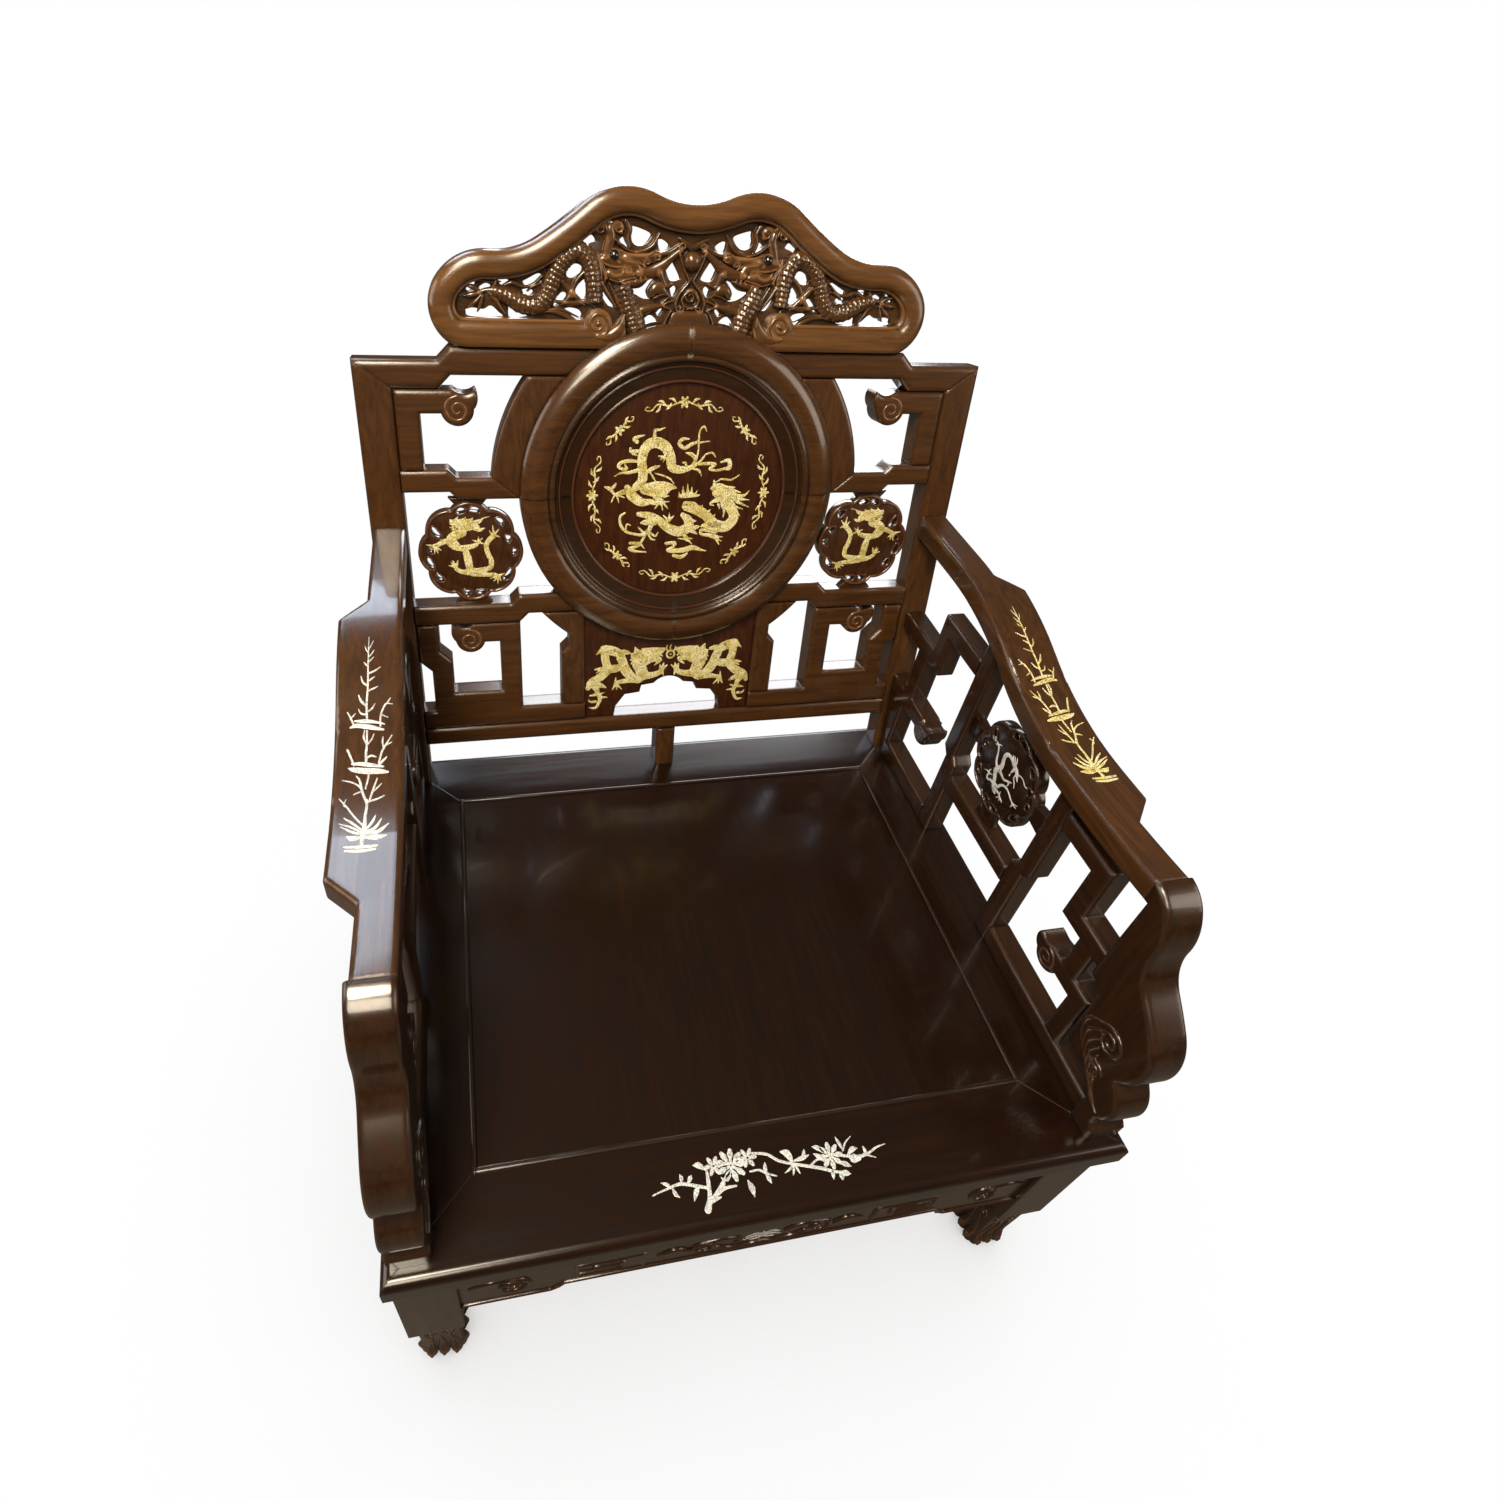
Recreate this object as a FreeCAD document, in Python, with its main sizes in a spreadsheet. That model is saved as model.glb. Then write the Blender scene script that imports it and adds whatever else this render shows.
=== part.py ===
import FreeCAD, Part
import math
import os
from FreeCAD import Placement, Rotation, Vector

# Carved hardwood armchair: a framed seat on four claw-footed legs, a leaning back with a
# roundel, frets and a pierced crest, and two fretted arms. The front faces -Y.
# The origin is on the floor, under the middle of the chair's overall box.

SIZES = [
    ("seat_width", 740, "seat frame, left to right"),
    ("seat_depth", 632, "seat frame, front to rear"),
    ("seat_height", 330, "floor to top of seat frame"),
    ("seat_rail_width", 84, "width of the mitred seat rails"),
    ("seat_rail_thickness", 38, "thickness of the seat rails"),
    ("seat_panel_thickness", 14, "floating seat panel"),
    ("seat_edge_round", 9, "thumb edge of the seat rails"),
    ("panel_bevel", 3, "bevel round the seat panel"),
    ("batten_width", 45, "battens under the seat panel"),
    ("batten_spread", 260, "spacing of the two battens"),
    ("base_inset", 12, "base face behind the seat's front and rear edges"),
    ("base_side_inset", 3, "base face behind the seat's side edges"),
    ("waist_height", 37, "moulded waist between seat and apron"),
    ("waist_inset", 8, "waist face behind the base face"),
    ("waist_width", 30, "waist strip, face to back"),
    ("waist_bead", 6, "roundover of the waist strip"),
    ("leg_width", 57, "square leg block"),
    ("knee_height", 143, "leg block above the foot"),
    ("ankle_step", 6, "foot set in behind the leg block"),
    ("foot_waist", 2, "narrowing of the foot above its toes"),
    ("foot_spread", 3, "toes proud of the ankle"),
    ("toe_depth", 5, "scallop between toes"),
    ("toe_height", 26, "toes above the floor"),
    ("apron_height", 87, "apron at its ends"),
    ("apron_thickness", 22, "apron board"),
    ("apron_recess", 5, "apron face behind the leg face"),
    ("apron_rise", 15, "raised middle of the lower edge"),
    ("apron_end", 105, "length of the deep apron ends"),
    ("lean", 12.6, "lean of the back in degrees"),
    ("back_inset", 47, "seat rear edge to back face at the seat"),
    ("back_width", 728, "across both back posts"),
    ("back_height", 542, "back frame along the lean"),
    ("back_thickness", 30, "back frame members"),
    ("post_width", 40, "back posts"),
    ("edge_round", 6, "cushioned face edges of the frame"),
    ("fret_round", 5, "cushioned face edges of the frets"),
    ("top_rail_height", 30, "top rail"),
    ("top_rail_rise", 14, "step up of the top rail"),
    ("top_step_place", 262, "inner end of that step from the middle"),
    ("under_gap", 60, "open gap under the lower rail"),
    ("lower_rail_height", 25, "lower rail of the back"),
    ("fret_width", 26, "fret bars of the back"),
    ("muntin_width", 27, "short middle muntin"),
    ("bracket_curl", 18, "curl at the end of a bracket or hook"),
    ("curl_reach", 67, "bracket arm from post to curl centre"),
    ("upper_rail_place", 399, "underside of the upper fret rail"),
    ("upper_rail_step", 9, "step down towards the roundel"),
    ("lower_fret_rail_place", 233, "underside of the lower fret rail"),
    ("lower_fret_rail_step", 11, "step up towards the roundel"),
    ("fret_inner_place", 197, "inner side of the square fret from the middle"),
    ("fret_jog", 14, "jog of the outer fret bar"),
    ("fret_jog_place", 183, "height of that jog"),
    ("hook_curl_place", 260, "hook curl from the middle"),
    ("panel_width", 230, "panel under the roundel"),
    ("panel_thickness", 18, "that panel's board"),
    ("panel_recess", 5, "panel face behind the back face"),
    ("panel_cut_width", 156, "shaped cut-out of the panel"),
    ("panel_cut_height", 57, "height of that cut-out"),
    ("stile_width", 30, "stiles beside the panel"),
    ("stile_jog", 10, "jog of those stiles"),
    ("stile_jog_place", 192, "height of that jog"),
    ("roundel_place", 392, "roundel centre along the lean"),
    ("ring_radius", 192, "outside of the roundel ring"),
    ("ring_width", 32, "flat of the ring"),
    ("ring_proud", 12, "ring in front of the back face"),
    ("ring_round", 8, "fall of the ring's swelling face"),
    ("bead_width", 7, "bead inside the ring"),
    ("cove_width", 24, "stepped cove between bead and disc"),
    ("cove_drop", 16, "disc face behind the ring face"),
    ("cove_lip", 3, "small step of the cove"),
    ("disc_thickness", 12, "inlaid disc"),
    ("shoulder_width", 33, "shoulder bands beside the ring"),
    ("medallion_thickness", 14, "flower medallions"),
    ("medallion_recess", 7, "medallion behind the bar face"),
    ("medallion_clear", 3.5, "clear space between a medallion and the bars"),
    ("medallion_sink", 2, "sunk field between a medallion's rim and plaque"),
    ("lug_width", 26, "lugs that hold a medallion"),
    ("crest_height", 157, "crest above the raised top rail"),
    ("crest_half_width", 279, "middle to end of the crest"),
    ("crest_thickness", 36, "crest board"),
    ("crest_proud", 4, "crest in front of the back face"),
    ("crest_border", 25, "border band of the crest"),
    ("crest_round", 11, "cushioned outer edge of the crest"),
    ("crest_inner_round", 7, "cushioned inner edge of the crest"),
    ("crest_scroll", 15, "scroll ending the lower border"),
    ("crest_scroll_place", 103, "that scroll from the middle"),
    ("carving_thickness", 16, "pierced carving in the crest"),
    ("carving_recess", 8, "carving behind the crest face"),
    ("dragon_width", 15, "carved dragon's body"),
    ("pearl_radius", 13, "pearl between the dragons"),
    ("arm_inner", 333, "middle to inner side of an arm fret"),
    ("arm_bar", 25, "width of the arm fret bars"),
    ("arm_thickness", 28, "depth of the arm fret bars"),
    ("armrest_inner", 325, "middle to inner edge of an armrest"),
    ("armrest_narrow", 36, "narrow ends of an armrest"),
    ("armrest_wide", 63, "wide middle of an armrest"),
    ("armrest_thickness", 28, "armrest board"),
    ("armrest_round", 5, "rounded armrest edges"),
    ("armrest_rear_height", 350, "armrest top at the rear"),
    ("armrest_low_height", 288, "armrest top at its lowest"),
    ("armrest_front_height", 294, "armrest top at the front joint"),
    ("armrest_low_place", 265, "place of the lowest point"),
    ("armrest_level", 25, "level rear part of an armrest, from the back"),
    ("armrest_joint", 124, "joint of armrest and front post"),
    ("shoulder_front", 194, "front shoulder of an armrest"),
    ("shoulder_rear", 57, "rear shoulder of an armrest, from the back"),
    ("shoulder_slope", 27, "length of a shoulder's slope"),
    ("front_post_place", 16, "front of the front post"),
    ("front_post_foot", 30, "foot of the front post, front to rear"),
    ("front_post_thickness", 40, "front post, side to side"),
    ("stem_front_place", 105, "front fret stem on the rail"),
    ("stem_jog", 27, "jog of that stem"),
    ("hook_place", 85, "underside of the front hook"),
    ("tie_place", 151, "underside of the tie to the front post"),
    ("front_bar_end", 190, "rear side of the front riser"),
    ("front_bar_gap", 14, "front fret's upper bar below the armrest"),
    ("medallion_gap_front", 268, "front side of the medallion's opening"),
    ("medallion_gap_rear", 151, "rear side of the medallion's opening, from the back"),
    ("medallion_rail_place", 85, "underside of the rail below the medallion"),
    ("arm_stile_jog", 10, "jog of the stiles beside the medallion"),
    ("arm_stile_jog_place", 130, "height of that jog"),
    ("rear_bar_gap", 34, "rear fret's upper bar below the armrest"),
    ("rear_bar_end", 34, "rear end of that bar, from the back"),
    ("rear_tie_place", 192, "underside of the tie to the back post"),
    ("rear_drop_place", 29, "front side of the rear drop, from the back"),
    ("rear_hook_place", 98, "underside of the rear hook"),
    ("rear_hook_curl", 73, "curl of the rear hook, from the back"),
    ("overrun", 40, "how far cutting tools pass the wood"),
]

os.makedirs("parts", exist_ok=True)
doc = FreeCAD.newDocument("armchair")
sheet = doc.addObject("Spreadsheet::Sheet", "sizes")
for row, (alias, value, note) in enumerate(SIZES, 1):
    sheet.set(f"A{row}", note)
    sheet.set(f"B{row}", str(value))
    sheet.setAlias(f"B{row}", alias)
doc.recompute()


class Named:
    """The sheet's values under their own names."""


size = Named()
for alias, value, note in SIZES:
    setattr(size, alias, float(sheet.get(alias)))

SIDES = {"left": -1, "right": 1}
CLOSE = 1e-6
NEAR = 1e-3
lean = math.radians(size.lean)
back_setback = size.seat_depth - size.back_inset
raised_top = size.back_height + size.top_rail_rise
crest_top = raised_top + size.crest_height
crest_rear = size.crest_thickness - size.crest_proud
overall_depth = back_setback + crest_top * math.sin(lean) + crest_rear * math.cos(lean)
front_y = -overall_depth / 2

# Three working frames. Seat: X, rearward from the front edge, up. Back: X, up along the
# lean, towards the sitter. Arm: rearward, up from the seat, rightward.
seat_frame = Placement(Vector(0, front_y, size.seat_height), Rotation())
back_frame = Placement(
    Vector(0, front_y + back_setback, size.seat_height),
    Rotation(Vector(1, 0, 0), 90 - size.lean),
)
arm_turn = Rotation(Vector(0, 1, 0), Vector(0, 0, 1), Vector(1, 0, 0), "ZXY")
pieces = {}


def outline(start, *steps):
    """A closed outline. A step is a corner, or a pair (way point, corner) for an arc."""
    edges = []
    here = Vector(*start, 0)
    for step in steps + (start,):
        if isinstance(step[0], tuple):
            there = Vector(*step[1], 0)
            edges.append(Part.Arc(here, Vector(*step[0], 0), there))
        else:
            there = Vector(*step, 0)
            if there.isEqual(here, CLOSE):
                continue
            edges.append(Part.LineSegment(here, there))
        here = there
    return edges


def turned(side, *steps):
    """Steps of an outline for the right side, mirrored for the left one."""
    def flip(step):
        if isinstance(step[0], tuple):
            return tuple(flip(point) for point in step)
        return (step[0] * side, step[1])
    return [flip(step) for step in steps]


def face_edges(shape, level, plain=()):
    """Names of the edges in the plane at this local height, apart from those at plain points."""
    names = []
    for index, edge in enumerate(shape.Edges, 1):
        span = edge.BoundBox
        middle = edge.valueAt((edge.FirstParameter + edge.LastParameter) / 2)
        flat = abs(span.ZMin - level) < CLOSE and abs(span.ZMax - level) < CLOSE
        if flat and not any(math.hypot(middle.x - x, middle.y - y) < NEAR for x, y in plain):
            names.append(f"Edge{index}")
    return names


def sawn(label, edges, thickness, frame, level=0.0, towards=-1, edge_round=None, joints=(), both=False):
    """A board sawn to an outline, its face edges rounded over except at the joints given by number."""
    body = doc.addObject("PartDesign::Body", label)
    body.Label = label
    plane = [item for item in body.Origin.OriginFeatures if item.Role == "XY_Plane"][0]
    sketch = body.newObject("Sketcher::SketchObject", label + "_outline")
    sketch.AttachmentSupport = [(plane, "")]
    sketch.MapMode = "FlatFace"
    sketch.AttachmentOffset = Placement(Vector(0, 0, level), Rotation())
    sketch.addGeometry(edges, False)
    pad = body.newObject("PartDesign::Pad", label + "_board")
    pad.Profile = sketch
    pad.Reversed = towards < 0
    pad.setExpression("Length", "sizes." + thickness)
    if edge_round:
        doc.recompute()
        plain = []
        for joint in joints:
            curve = edges[joint]
            middle = curve.value((curve.FirstParameter + curve.LastParameter) / 2)
            plain.append((middle.x, middle.y))
        names = face_edges(pad.Shape, level, plain)
        if both:
            names += face_edges(pad.Shape, level + towards * float(sheet.get(thickness)), plain)
        fillet = body.newObject("PartDesign::Fillet", label + "_round")
        fillet.Base = (pad, names)
        fillet.setExpression("Radius", "sizes." + edge_round)
    body.Placement = frame
    pieces[label] = body
    return body


def box(label, corner, lengths, frame=Placement()):
    """A square bar: each of its three lengths is an expression on the sheet."""
    bar = doc.addObject("Part::Box", label)
    bar.Label = label
    for side, length in zip(("Length", "Width", "Height"), lengths):
        bar.setExpression(side, length)
    bar.Placement = frame.multiply(Placement(Vector(*corner), Rotation()))
    return bar


def solid(label, shape, frame=Placement()):
    """A piece whose shape is worked out directly."""
    feature = doc.addObject("Part::Feature", label)
    feature.Label = label
    feature.Shape = shape
    feature.Placement = frame
    pieces[label] = feature
    return feature


def prism(edges, thickness, level=0.0):
    """A plain slab from an outline, upward from a level."""
    face = Part.Face(Part.Wire([edge.toShape() for edge in edges]))
    slab = face.extrude(Vector(0, 0, thickness))
    slab.translate(Vector(0, 0, level))
    return slab


# Seat: four mitred rails round a floating panel, with two battens under the panel.
half_seat = size.seat_width / 2
inner_x = half_seat - size.seat_rail_width
inner_front = size.seat_rail_width
inner_rear = size.seat_depth - size.seat_rail_width
seat_rails = {
    "seat_front_rail": ((-half_seat, 0), (half_seat, 0), (inner_x, inner_front), (-inner_x, inner_front)),
    "seat_rear_rail": (
        (half_seat, size.seat_depth),
        (-half_seat, size.seat_depth),
        (-inner_x, inner_rear),
        (inner_x, inner_rear),
    ),
    "seat_left_rail": (
        (-half_seat, size.seat_depth),
        (-half_seat, 0),
        (-inner_x, inner_front),
        (-inner_x, inner_rear),
    ),
    "seat_right_rail": (
        (half_seat, 0),
        (half_seat, size.seat_depth),
        (inner_x, inner_rear),
        (inner_x, inner_front),
    ),
}
for label, corners in seat_rails.items():
    rail = sawn(label, outline(*corners), "seat_rail_thickness", seat_frame)
    doc.recompute()
    board = rail.Tip
    outer = []
    for index, edge in enumerate(board.Shape.Edges, 1):
        middle = edge.BoundBox.Center
        level_edge = edge.BoundBox.ZLength < CLOSE
        rim = abs(abs(middle.x) - half_seat) < CLOSE or abs(middle.y) < CLOSE
        rim = rim or abs(middle.y - size.seat_depth) < CLOSE
        if level_edge and rim:
            outer.append(f"Edge{index}")
    thumb = rail.newObject("PartDesign::Fillet", label + "_thumb")
    thumb.Base = (board, outer)
    thumb.setExpression("Radius", "sizes.seat_edge_round")

panel = sawn(
    "seat_panel",
    outline((-inner_x, inner_front), (inner_x, inner_front), (inner_x, inner_rear), (-inner_x, inner_rear)),
    "seat_panel_thickness",
    seat_frame,
)
doc.recompute()
board = panel.Tip
bevel = panel.newObject("PartDesign::Chamfer", "seat_panel_bevel")
bevel.Base = (board, face_edges(board.Shape, 0.0))
bevel.setExpression("Size", "sizes.panel_bevel")

battens = []
for side in SIDES.values():
    corner = (
        side * size.batten_spread / 2 - size.batten_width / 2,
        inner_front,
        -size.seat_rail_thickness,
    )
    batten = box(
        f"batten_{len(battens)}",
        corner,
        (
            "sizes.batten_width",
            "sizes.seat_depth - 2 * sizes.seat_rail_width",
            "sizes.seat_rail_thickness - sizes.seat_panel_thickness",
        ),
        seat_frame,
    )
    battens.append(batten)
group = doc.addObject("Part::Compound", "seat_battens")
group.Links = battens
pieces["seat_battens"] = group

# Base: a moulded waist, four aprons with stepped lower edges, and four claw-footed legs.
base_x = half_seat - size.base_side_inset
base_front = size.base_inset
base_rear = size.seat_depth - size.base_inset
waist_level = -size.seat_rail_thickness
apron_top = waist_level - size.waist_height


def rim(inset):
    """Corners of the base outline, moved inward."""
    return (
        (-base_x + inset, base_front + inset),
        (base_x - inset, base_front + inset),
        (base_x - inset, base_rear - inset),
        (-base_x + inset, base_rear - inset),
    )


waist_strips = []
outer_rim = rim(size.waist_inset)
inner_rim = rim(size.waist_inset + size.waist_width)
for index in range(4):
    following = (index + 1) % 4
    strip = prism(
        outline(outer_rim[index], outer_rim[following], inner_rim[following], inner_rim[index]),
        -size.waist_height,
        waist_level,
    )
    start = Vector(*outer_rim[index], apron_top)
    ends = (start, Vector(*outer_rim[following], apron_top))
    lower_edge = [
        edge for edge in strip.Edges if all(vertex.Point.isEqual(ends[0], CLOSE) or
                                            vertex.Point.isEqual(ends[1], CLOSE)
                                            for vertex in edge.Vertexes)
    ]
    waist_strips.append(strip.makeFillet(size.waist_bead, lower_edge))
solid("waist_moulding", Part.makeCompound(waist_strips), seat_frame)


def apron(label, length, middle, turn):
    """An apron board with deeper ends, set between two legs."""
    half = length / 2
    end = half - size.apron_end
    edges = outline(
        (-half, 0),
        (half, 0),
        (half, -size.apron_height),
        (end + size.apron_rise / 2, -size.apron_height),
        (end, -size.apron_height + size.apron_rise),
        (-end, -size.apron_height + size.apron_rise),
        (-end - size.apron_rise / 2, -size.apron_height),
        (-half, -size.apron_height),
    )
    upright = Rotation(Vector(0, 0, 1), turn).multiply(Rotation(Vector(1, 0, 0), 90))
    place = seat_frame.multiply(Placement(Vector(*middle, apron_top), upright))
    sawn(label, edges, "apron_thickness", place)


long_run = 2 * (base_x - size.leg_width)
short_run = base_rear - base_front - 2 * size.leg_width
middle_y = size.seat_depth / 2
face = size.apron_recess
apron("apron_front", long_run, (0, base_front + face), 0)
apron("apron_rear", long_run, (0, base_rear - face), 180)
apron("apron_left", short_run, (-base_x + face, middle_y), 270)
apron("apron_right", short_run, (base_x - face, middle_y), 90)

TOES = 3
SLIGHT_SHARE = 0.1


def foot_section(half, scallop, level):
    """A square section whose sides swell into rounded toes."""
    corners = ((-half, -half), (half, -half), (half, half), (-half, half))
    edges = []
    for index, start in enumerate(corners):
        begin = Vector(*start, level)
        finish = Vector(*corners[(index + 1) % 4], level)
        along = (finish - begin) / TOES
        outward = Vector(along.y, -along.x, 0).normalize()
        for toe in range(TOES):
            first = begin + along * toe
            crown = first + along / 2 + outward * scallop
            edges.append(Part.Arc(first, crown, first + along).toShape())
    return Part.Wire(edges)


leg_length = size.seat_height + apron_top
foot_level = -size.knee_height
half_leg = size.leg_width / 2
ankle = half_leg - size.ankle_step
sole = ankle + size.foot_spread - size.toe_depth
slight = size.toe_depth * SLIGHT_SHARE
for depth_name, depth in (("front", base_front + half_leg), ("rear", base_rear - half_leg)):
    for side_name, side in SIDES.items():
        block = Part.makeBox(size.leg_width, size.leg_width, size.knee_height,
                             Vector(-half_leg, -half_leg, foot_level))
        sections = [
            foot_section(ankle - slight, slight, foot_level),
            foot_section(ankle - size.foot_waist - slight, slight, size.toe_height - leg_length),
            foot_section(sole, size.toe_depth, size.toe_height / 2 - leg_length),
            foot_section(sole, size.toe_depth, -leg_length),
        ]
        claw = Part.makeLoft(sections, True, True)
        leg = block.fuse(claw).removeSplitter()
        place = Placement(Vector(side * (base_x - half_leg), depth, apron_top), Rotation())
        solid(f"leg_{depth_name}_{side_name}", leg, seat_frame.multiply(place))

# Back frame: leaning posts, stepped top rails mitred to them, a lower rail and a muntin.
half_back = size.back_width / 2
post_inner = half_back - size.post_width
rail_under = size.back_height - size.top_rail_height
raised_under = rail_under + size.top_rail_rise
step_outer = size.top_step_place + size.top_rail_rise


def ring_x(level, radius):
    """Half-width of a circle round the roundel centre at a height along the back."""
    return math.sqrt(radius ** 2 - (level - size.roundel_place) ** 2)


def ring_level(across, radius):
    """Height above the roundel centre of that circle at a distance from the middle."""
    return math.sqrt(radius ** 2 - across ** 2)


def ring_arc(start, end, radius):
    """An arc step about the roundel centre, from one point of the circle to another."""
    centre = Vector(0, size.roundel_place, 0)
    halfway = (Vector(*start, 0) + Vector(*end, 0)) / 2 - centre
    halfway = centre + halfway.normalize() * radius
    return ((halfway.x, halfway.y), end)


seat_clear = box(
    "seat_clear",
    (-half_seat, 0, -2 * size.overrun),
    ("sizes.seat_width", "2 * sizes.seat_depth", "2 * sizes.overrun"),
    seat_frame,
)


def footed(label, edges):
    """An upright of the back, its foot cut level to stand on the seat."""
    blank = sawn(
        label + "_blank",
        edges,
        "back_thickness",
        back_frame,
        edge_round="edge_round",
        joints=(0, 2),
    )
    del pieces[label + "_blank"]
    cut = doc.addObject("Part::Cut", label)
    cut.Label = label
    cut.Base = blank
    cut.Tool = seat_clear
    pieces[label] = cut


def cushioned(label, edges, joints, edge_round="fret_round"):
    """A member of the back with a cushioned front face."""
    sawn(label, edges, "back_thickness", back_frame, edge_round=edge_round, joints=joints)


for side_name, side in SIDES.items():
    post_edges = outline(*turned(
        side,
        (post_inner, -size.overrun),
        (half_back, -size.overrun),
        (half_back, size.back_height),
        (post_inner, rail_under),
    ))
    footed(f"back_post_{side_name}", post_edges)
    inner_top = (ring_x(raised_top, size.ring_radius), raised_top)
    inner_under = (ring_x(raised_under, size.ring_radius), raised_under)
    rail_edges = outline(*turned(
        side,
        (half_back, size.back_height),
        (step_outer, size.back_height),
        (size.top_step_place, raised_top),
        inner_top,
        ring_arc(inner_top, inner_under, size.ring_radius),
        (size.top_step_place, raised_under),
        (step_outer, rail_under),
        (post_inner, rail_under),
    ))
    cushioned(f"top_rail_{side_name}", rail_edges, (3, 7), "edge_round")

lower_top = size.under_gap + size.lower_rail_height
lower_rail = outline(
    (-post_inner, size.under_gap),
    (post_inner, size.under_gap),
    (post_inner, lower_top),
    (-post_inner, lower_top),
)
cushioned("lower_rail", lower_rail, (1, 3), "edge_round")
half_muntin = size.muntin_width / 2
muntin = outline(
    (-half_muntin, -size.overrun),
    (half_muntin, -size.overrun),
    (half_muntin, size.under_gap),
    (-half_muntin, size.under_gap),
)
footed("muntin", muntin)

# Roundel: a ring in four curved segments with bead and cove, and the disc that they hold.
disc_level = size.ring_proud - size.cove_drop
ring_inner = size.ring_radius - size.ring_width
cove_outer = ring_inner - size.bead_width
disc_radius = cove_outer - size.cove_width
ring_back = -size.back_thickness
disc_back = disc_level - size.disc_thickness
seat_radius = disc_radius + size.cove_width / 2
BEAD_SHARE = 0.33
COVE_SHARE = 0.33
ring_edge = size.ring_proud - size.ring_round
ring_lip = size.ring_proud - size.ring_round / 2
ring_profile = Part.Wire([edge.toShape() for edge in (
    Part.LineSegment(Vector(size.ring_radius, 0, ring_back), Vector(size.ring_radius, 0, ring_edge)),
    Part.Arc(
        Vector(size.ring_radius, 0, ring_edge),
        Vector(ring_inner + size.ring_width / 2, 0, size.ring_proud),
        Vector(ring_inner, 0, ring_lip),
    ),
    Part.Arc(
        Vector(ring_inner, 0, ring_lip),
        Vector(ring_inner - size.bead_width / 2, 0, ring_lip + size.bead_width * BEAD_SHARE),
        Vector(cove_outer, 0, ring_lip - size.cove_lip),
    ),
    Part.Arc(
        Vector(cove_outer, 0, ring_lip - size.cove_lip),
        Vector(seat_radius, 0, disc_level + size.cove_drop * COVE_SHARE),
        Vector(disc_radius, 0, disc_level + size.cove_lip),
    ),
    Part.LineSegment(Vector(disc_radius, 0, disc_level + size.cove_lip), Vector(disc_radius, 0, disc_level)),
    Part.LineSegment(Vector(disc_radius, 0, disc_level), Vector(seat_radius, 0, disc_level)),
    Part.LineSegment(Vector(seat_radius, 0, disc_level), Vector(seat_radius, 0, ring_back)),
    Part.LineSegment(Vector(seat_radius, 0, ring_back), Vector(size.ring_radius, 0, ring_back)),
)])
roundel_centre = Placement(Vector(0, size.roundel_place, 0), Rotation())
segments = []
for quarter in range(4):
    segment = Part.Face(ring_profile).revolve(Vector(), Vector(0, 0, 1), 90)
    segment.rotate(Vector(), Vector(0, 0, 1), 90 * quarter)
    segments.append(segment)
solid("roundel_ring", Part.makeCompound(segments), back_frame.multiply(roundel_centre))
disc = doc.addObject("Part::Cylinder", "roundel_disc")
disc.setExpression(
    "Radius",
    "sizes.ring_radius - sizes.ring_width - sizes.bead_width - sizes.cove_width / 2",
)
disc.setExpression("Height", "sizes.disc_thickness")
disc.Placement = back_frame.multiply(Placement(Vector(0, size.roundel_place, disc_back), Rotation()))
pieces["roundel_disc"] = disc

# Frets of the back: shoulders round the ring, stepped rails, brackets and hooks with curls.
band_radius = size.ring_radius + size.shoulder_width
upper_under = size.upper_rail_place - size.upper_rail_step
upper_top = size.upper_rail_place + size.fret_width
upper_inner_top = upper_top - size.upper_rail_step
lower_under = size.lower_fret_rail_place
lower_inner_under = lower_under + size.lower_fret_rail_step
lower_rail_top = lower_under + size.fret_width
lower_inner_top = lower_rail_top + size.lower_fret_rail_step
medallion_radius = (upper_under - lower_rail_top) / 2
medallion_level = (upper_under + lower_rail_top) / 2
bracket_x = post_inner - size.fret_width
curl = size.bracket_curl
half_panel = size.panel_width / 2


# Shares of a curl's radius: bulb level, leaf brow, leaf tip, and the hollow behind the tip.
BULB_SHARE = 0.25
BROW_SHARES = (1.25, 0.8)
TIP_SHARE = 1.1
HOLLOW_SHARES = (0.5, 0.25)


def hook_end(curl_x, under, top, heading):
    """Steps round a curl: along the under side, round the bulb, up to its leaf tip."""
    level = under + curl * BULB_SHARE
    reach = heading * curl
    return [
        (curl_x - reach, under),
        ((curl_x, level - curl), (curl_x + reach, level)),
        (
            (curl_x + reach * BROW_SHARES[0], level + curl * BROW_SHARES[1]),
            (curl_x + reach * TIP_SHARE, top),
        ),
        (
            (curl_x + reach * HOLLOW_SHARES[0], top - curl * HOLLOW_SHARES[1]),
            (curl_x - reach * HOLLOW_SHARES[1], top),
        ),
    ]


def backward(steps):
    """The same steps walked the other way."""
    corners = [step[1] if isinstance(step[0], tuple) else step for step in steps]
    walked = [corners[-1]]
    for index in range(len(steps) - 1, 0, -1):
        corner = corners[index - 1]
        curved = isinstance(steps[index][0], tuple)
        walked.append((steps[index][0], corner) if curved else corner)
    return walked


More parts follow.
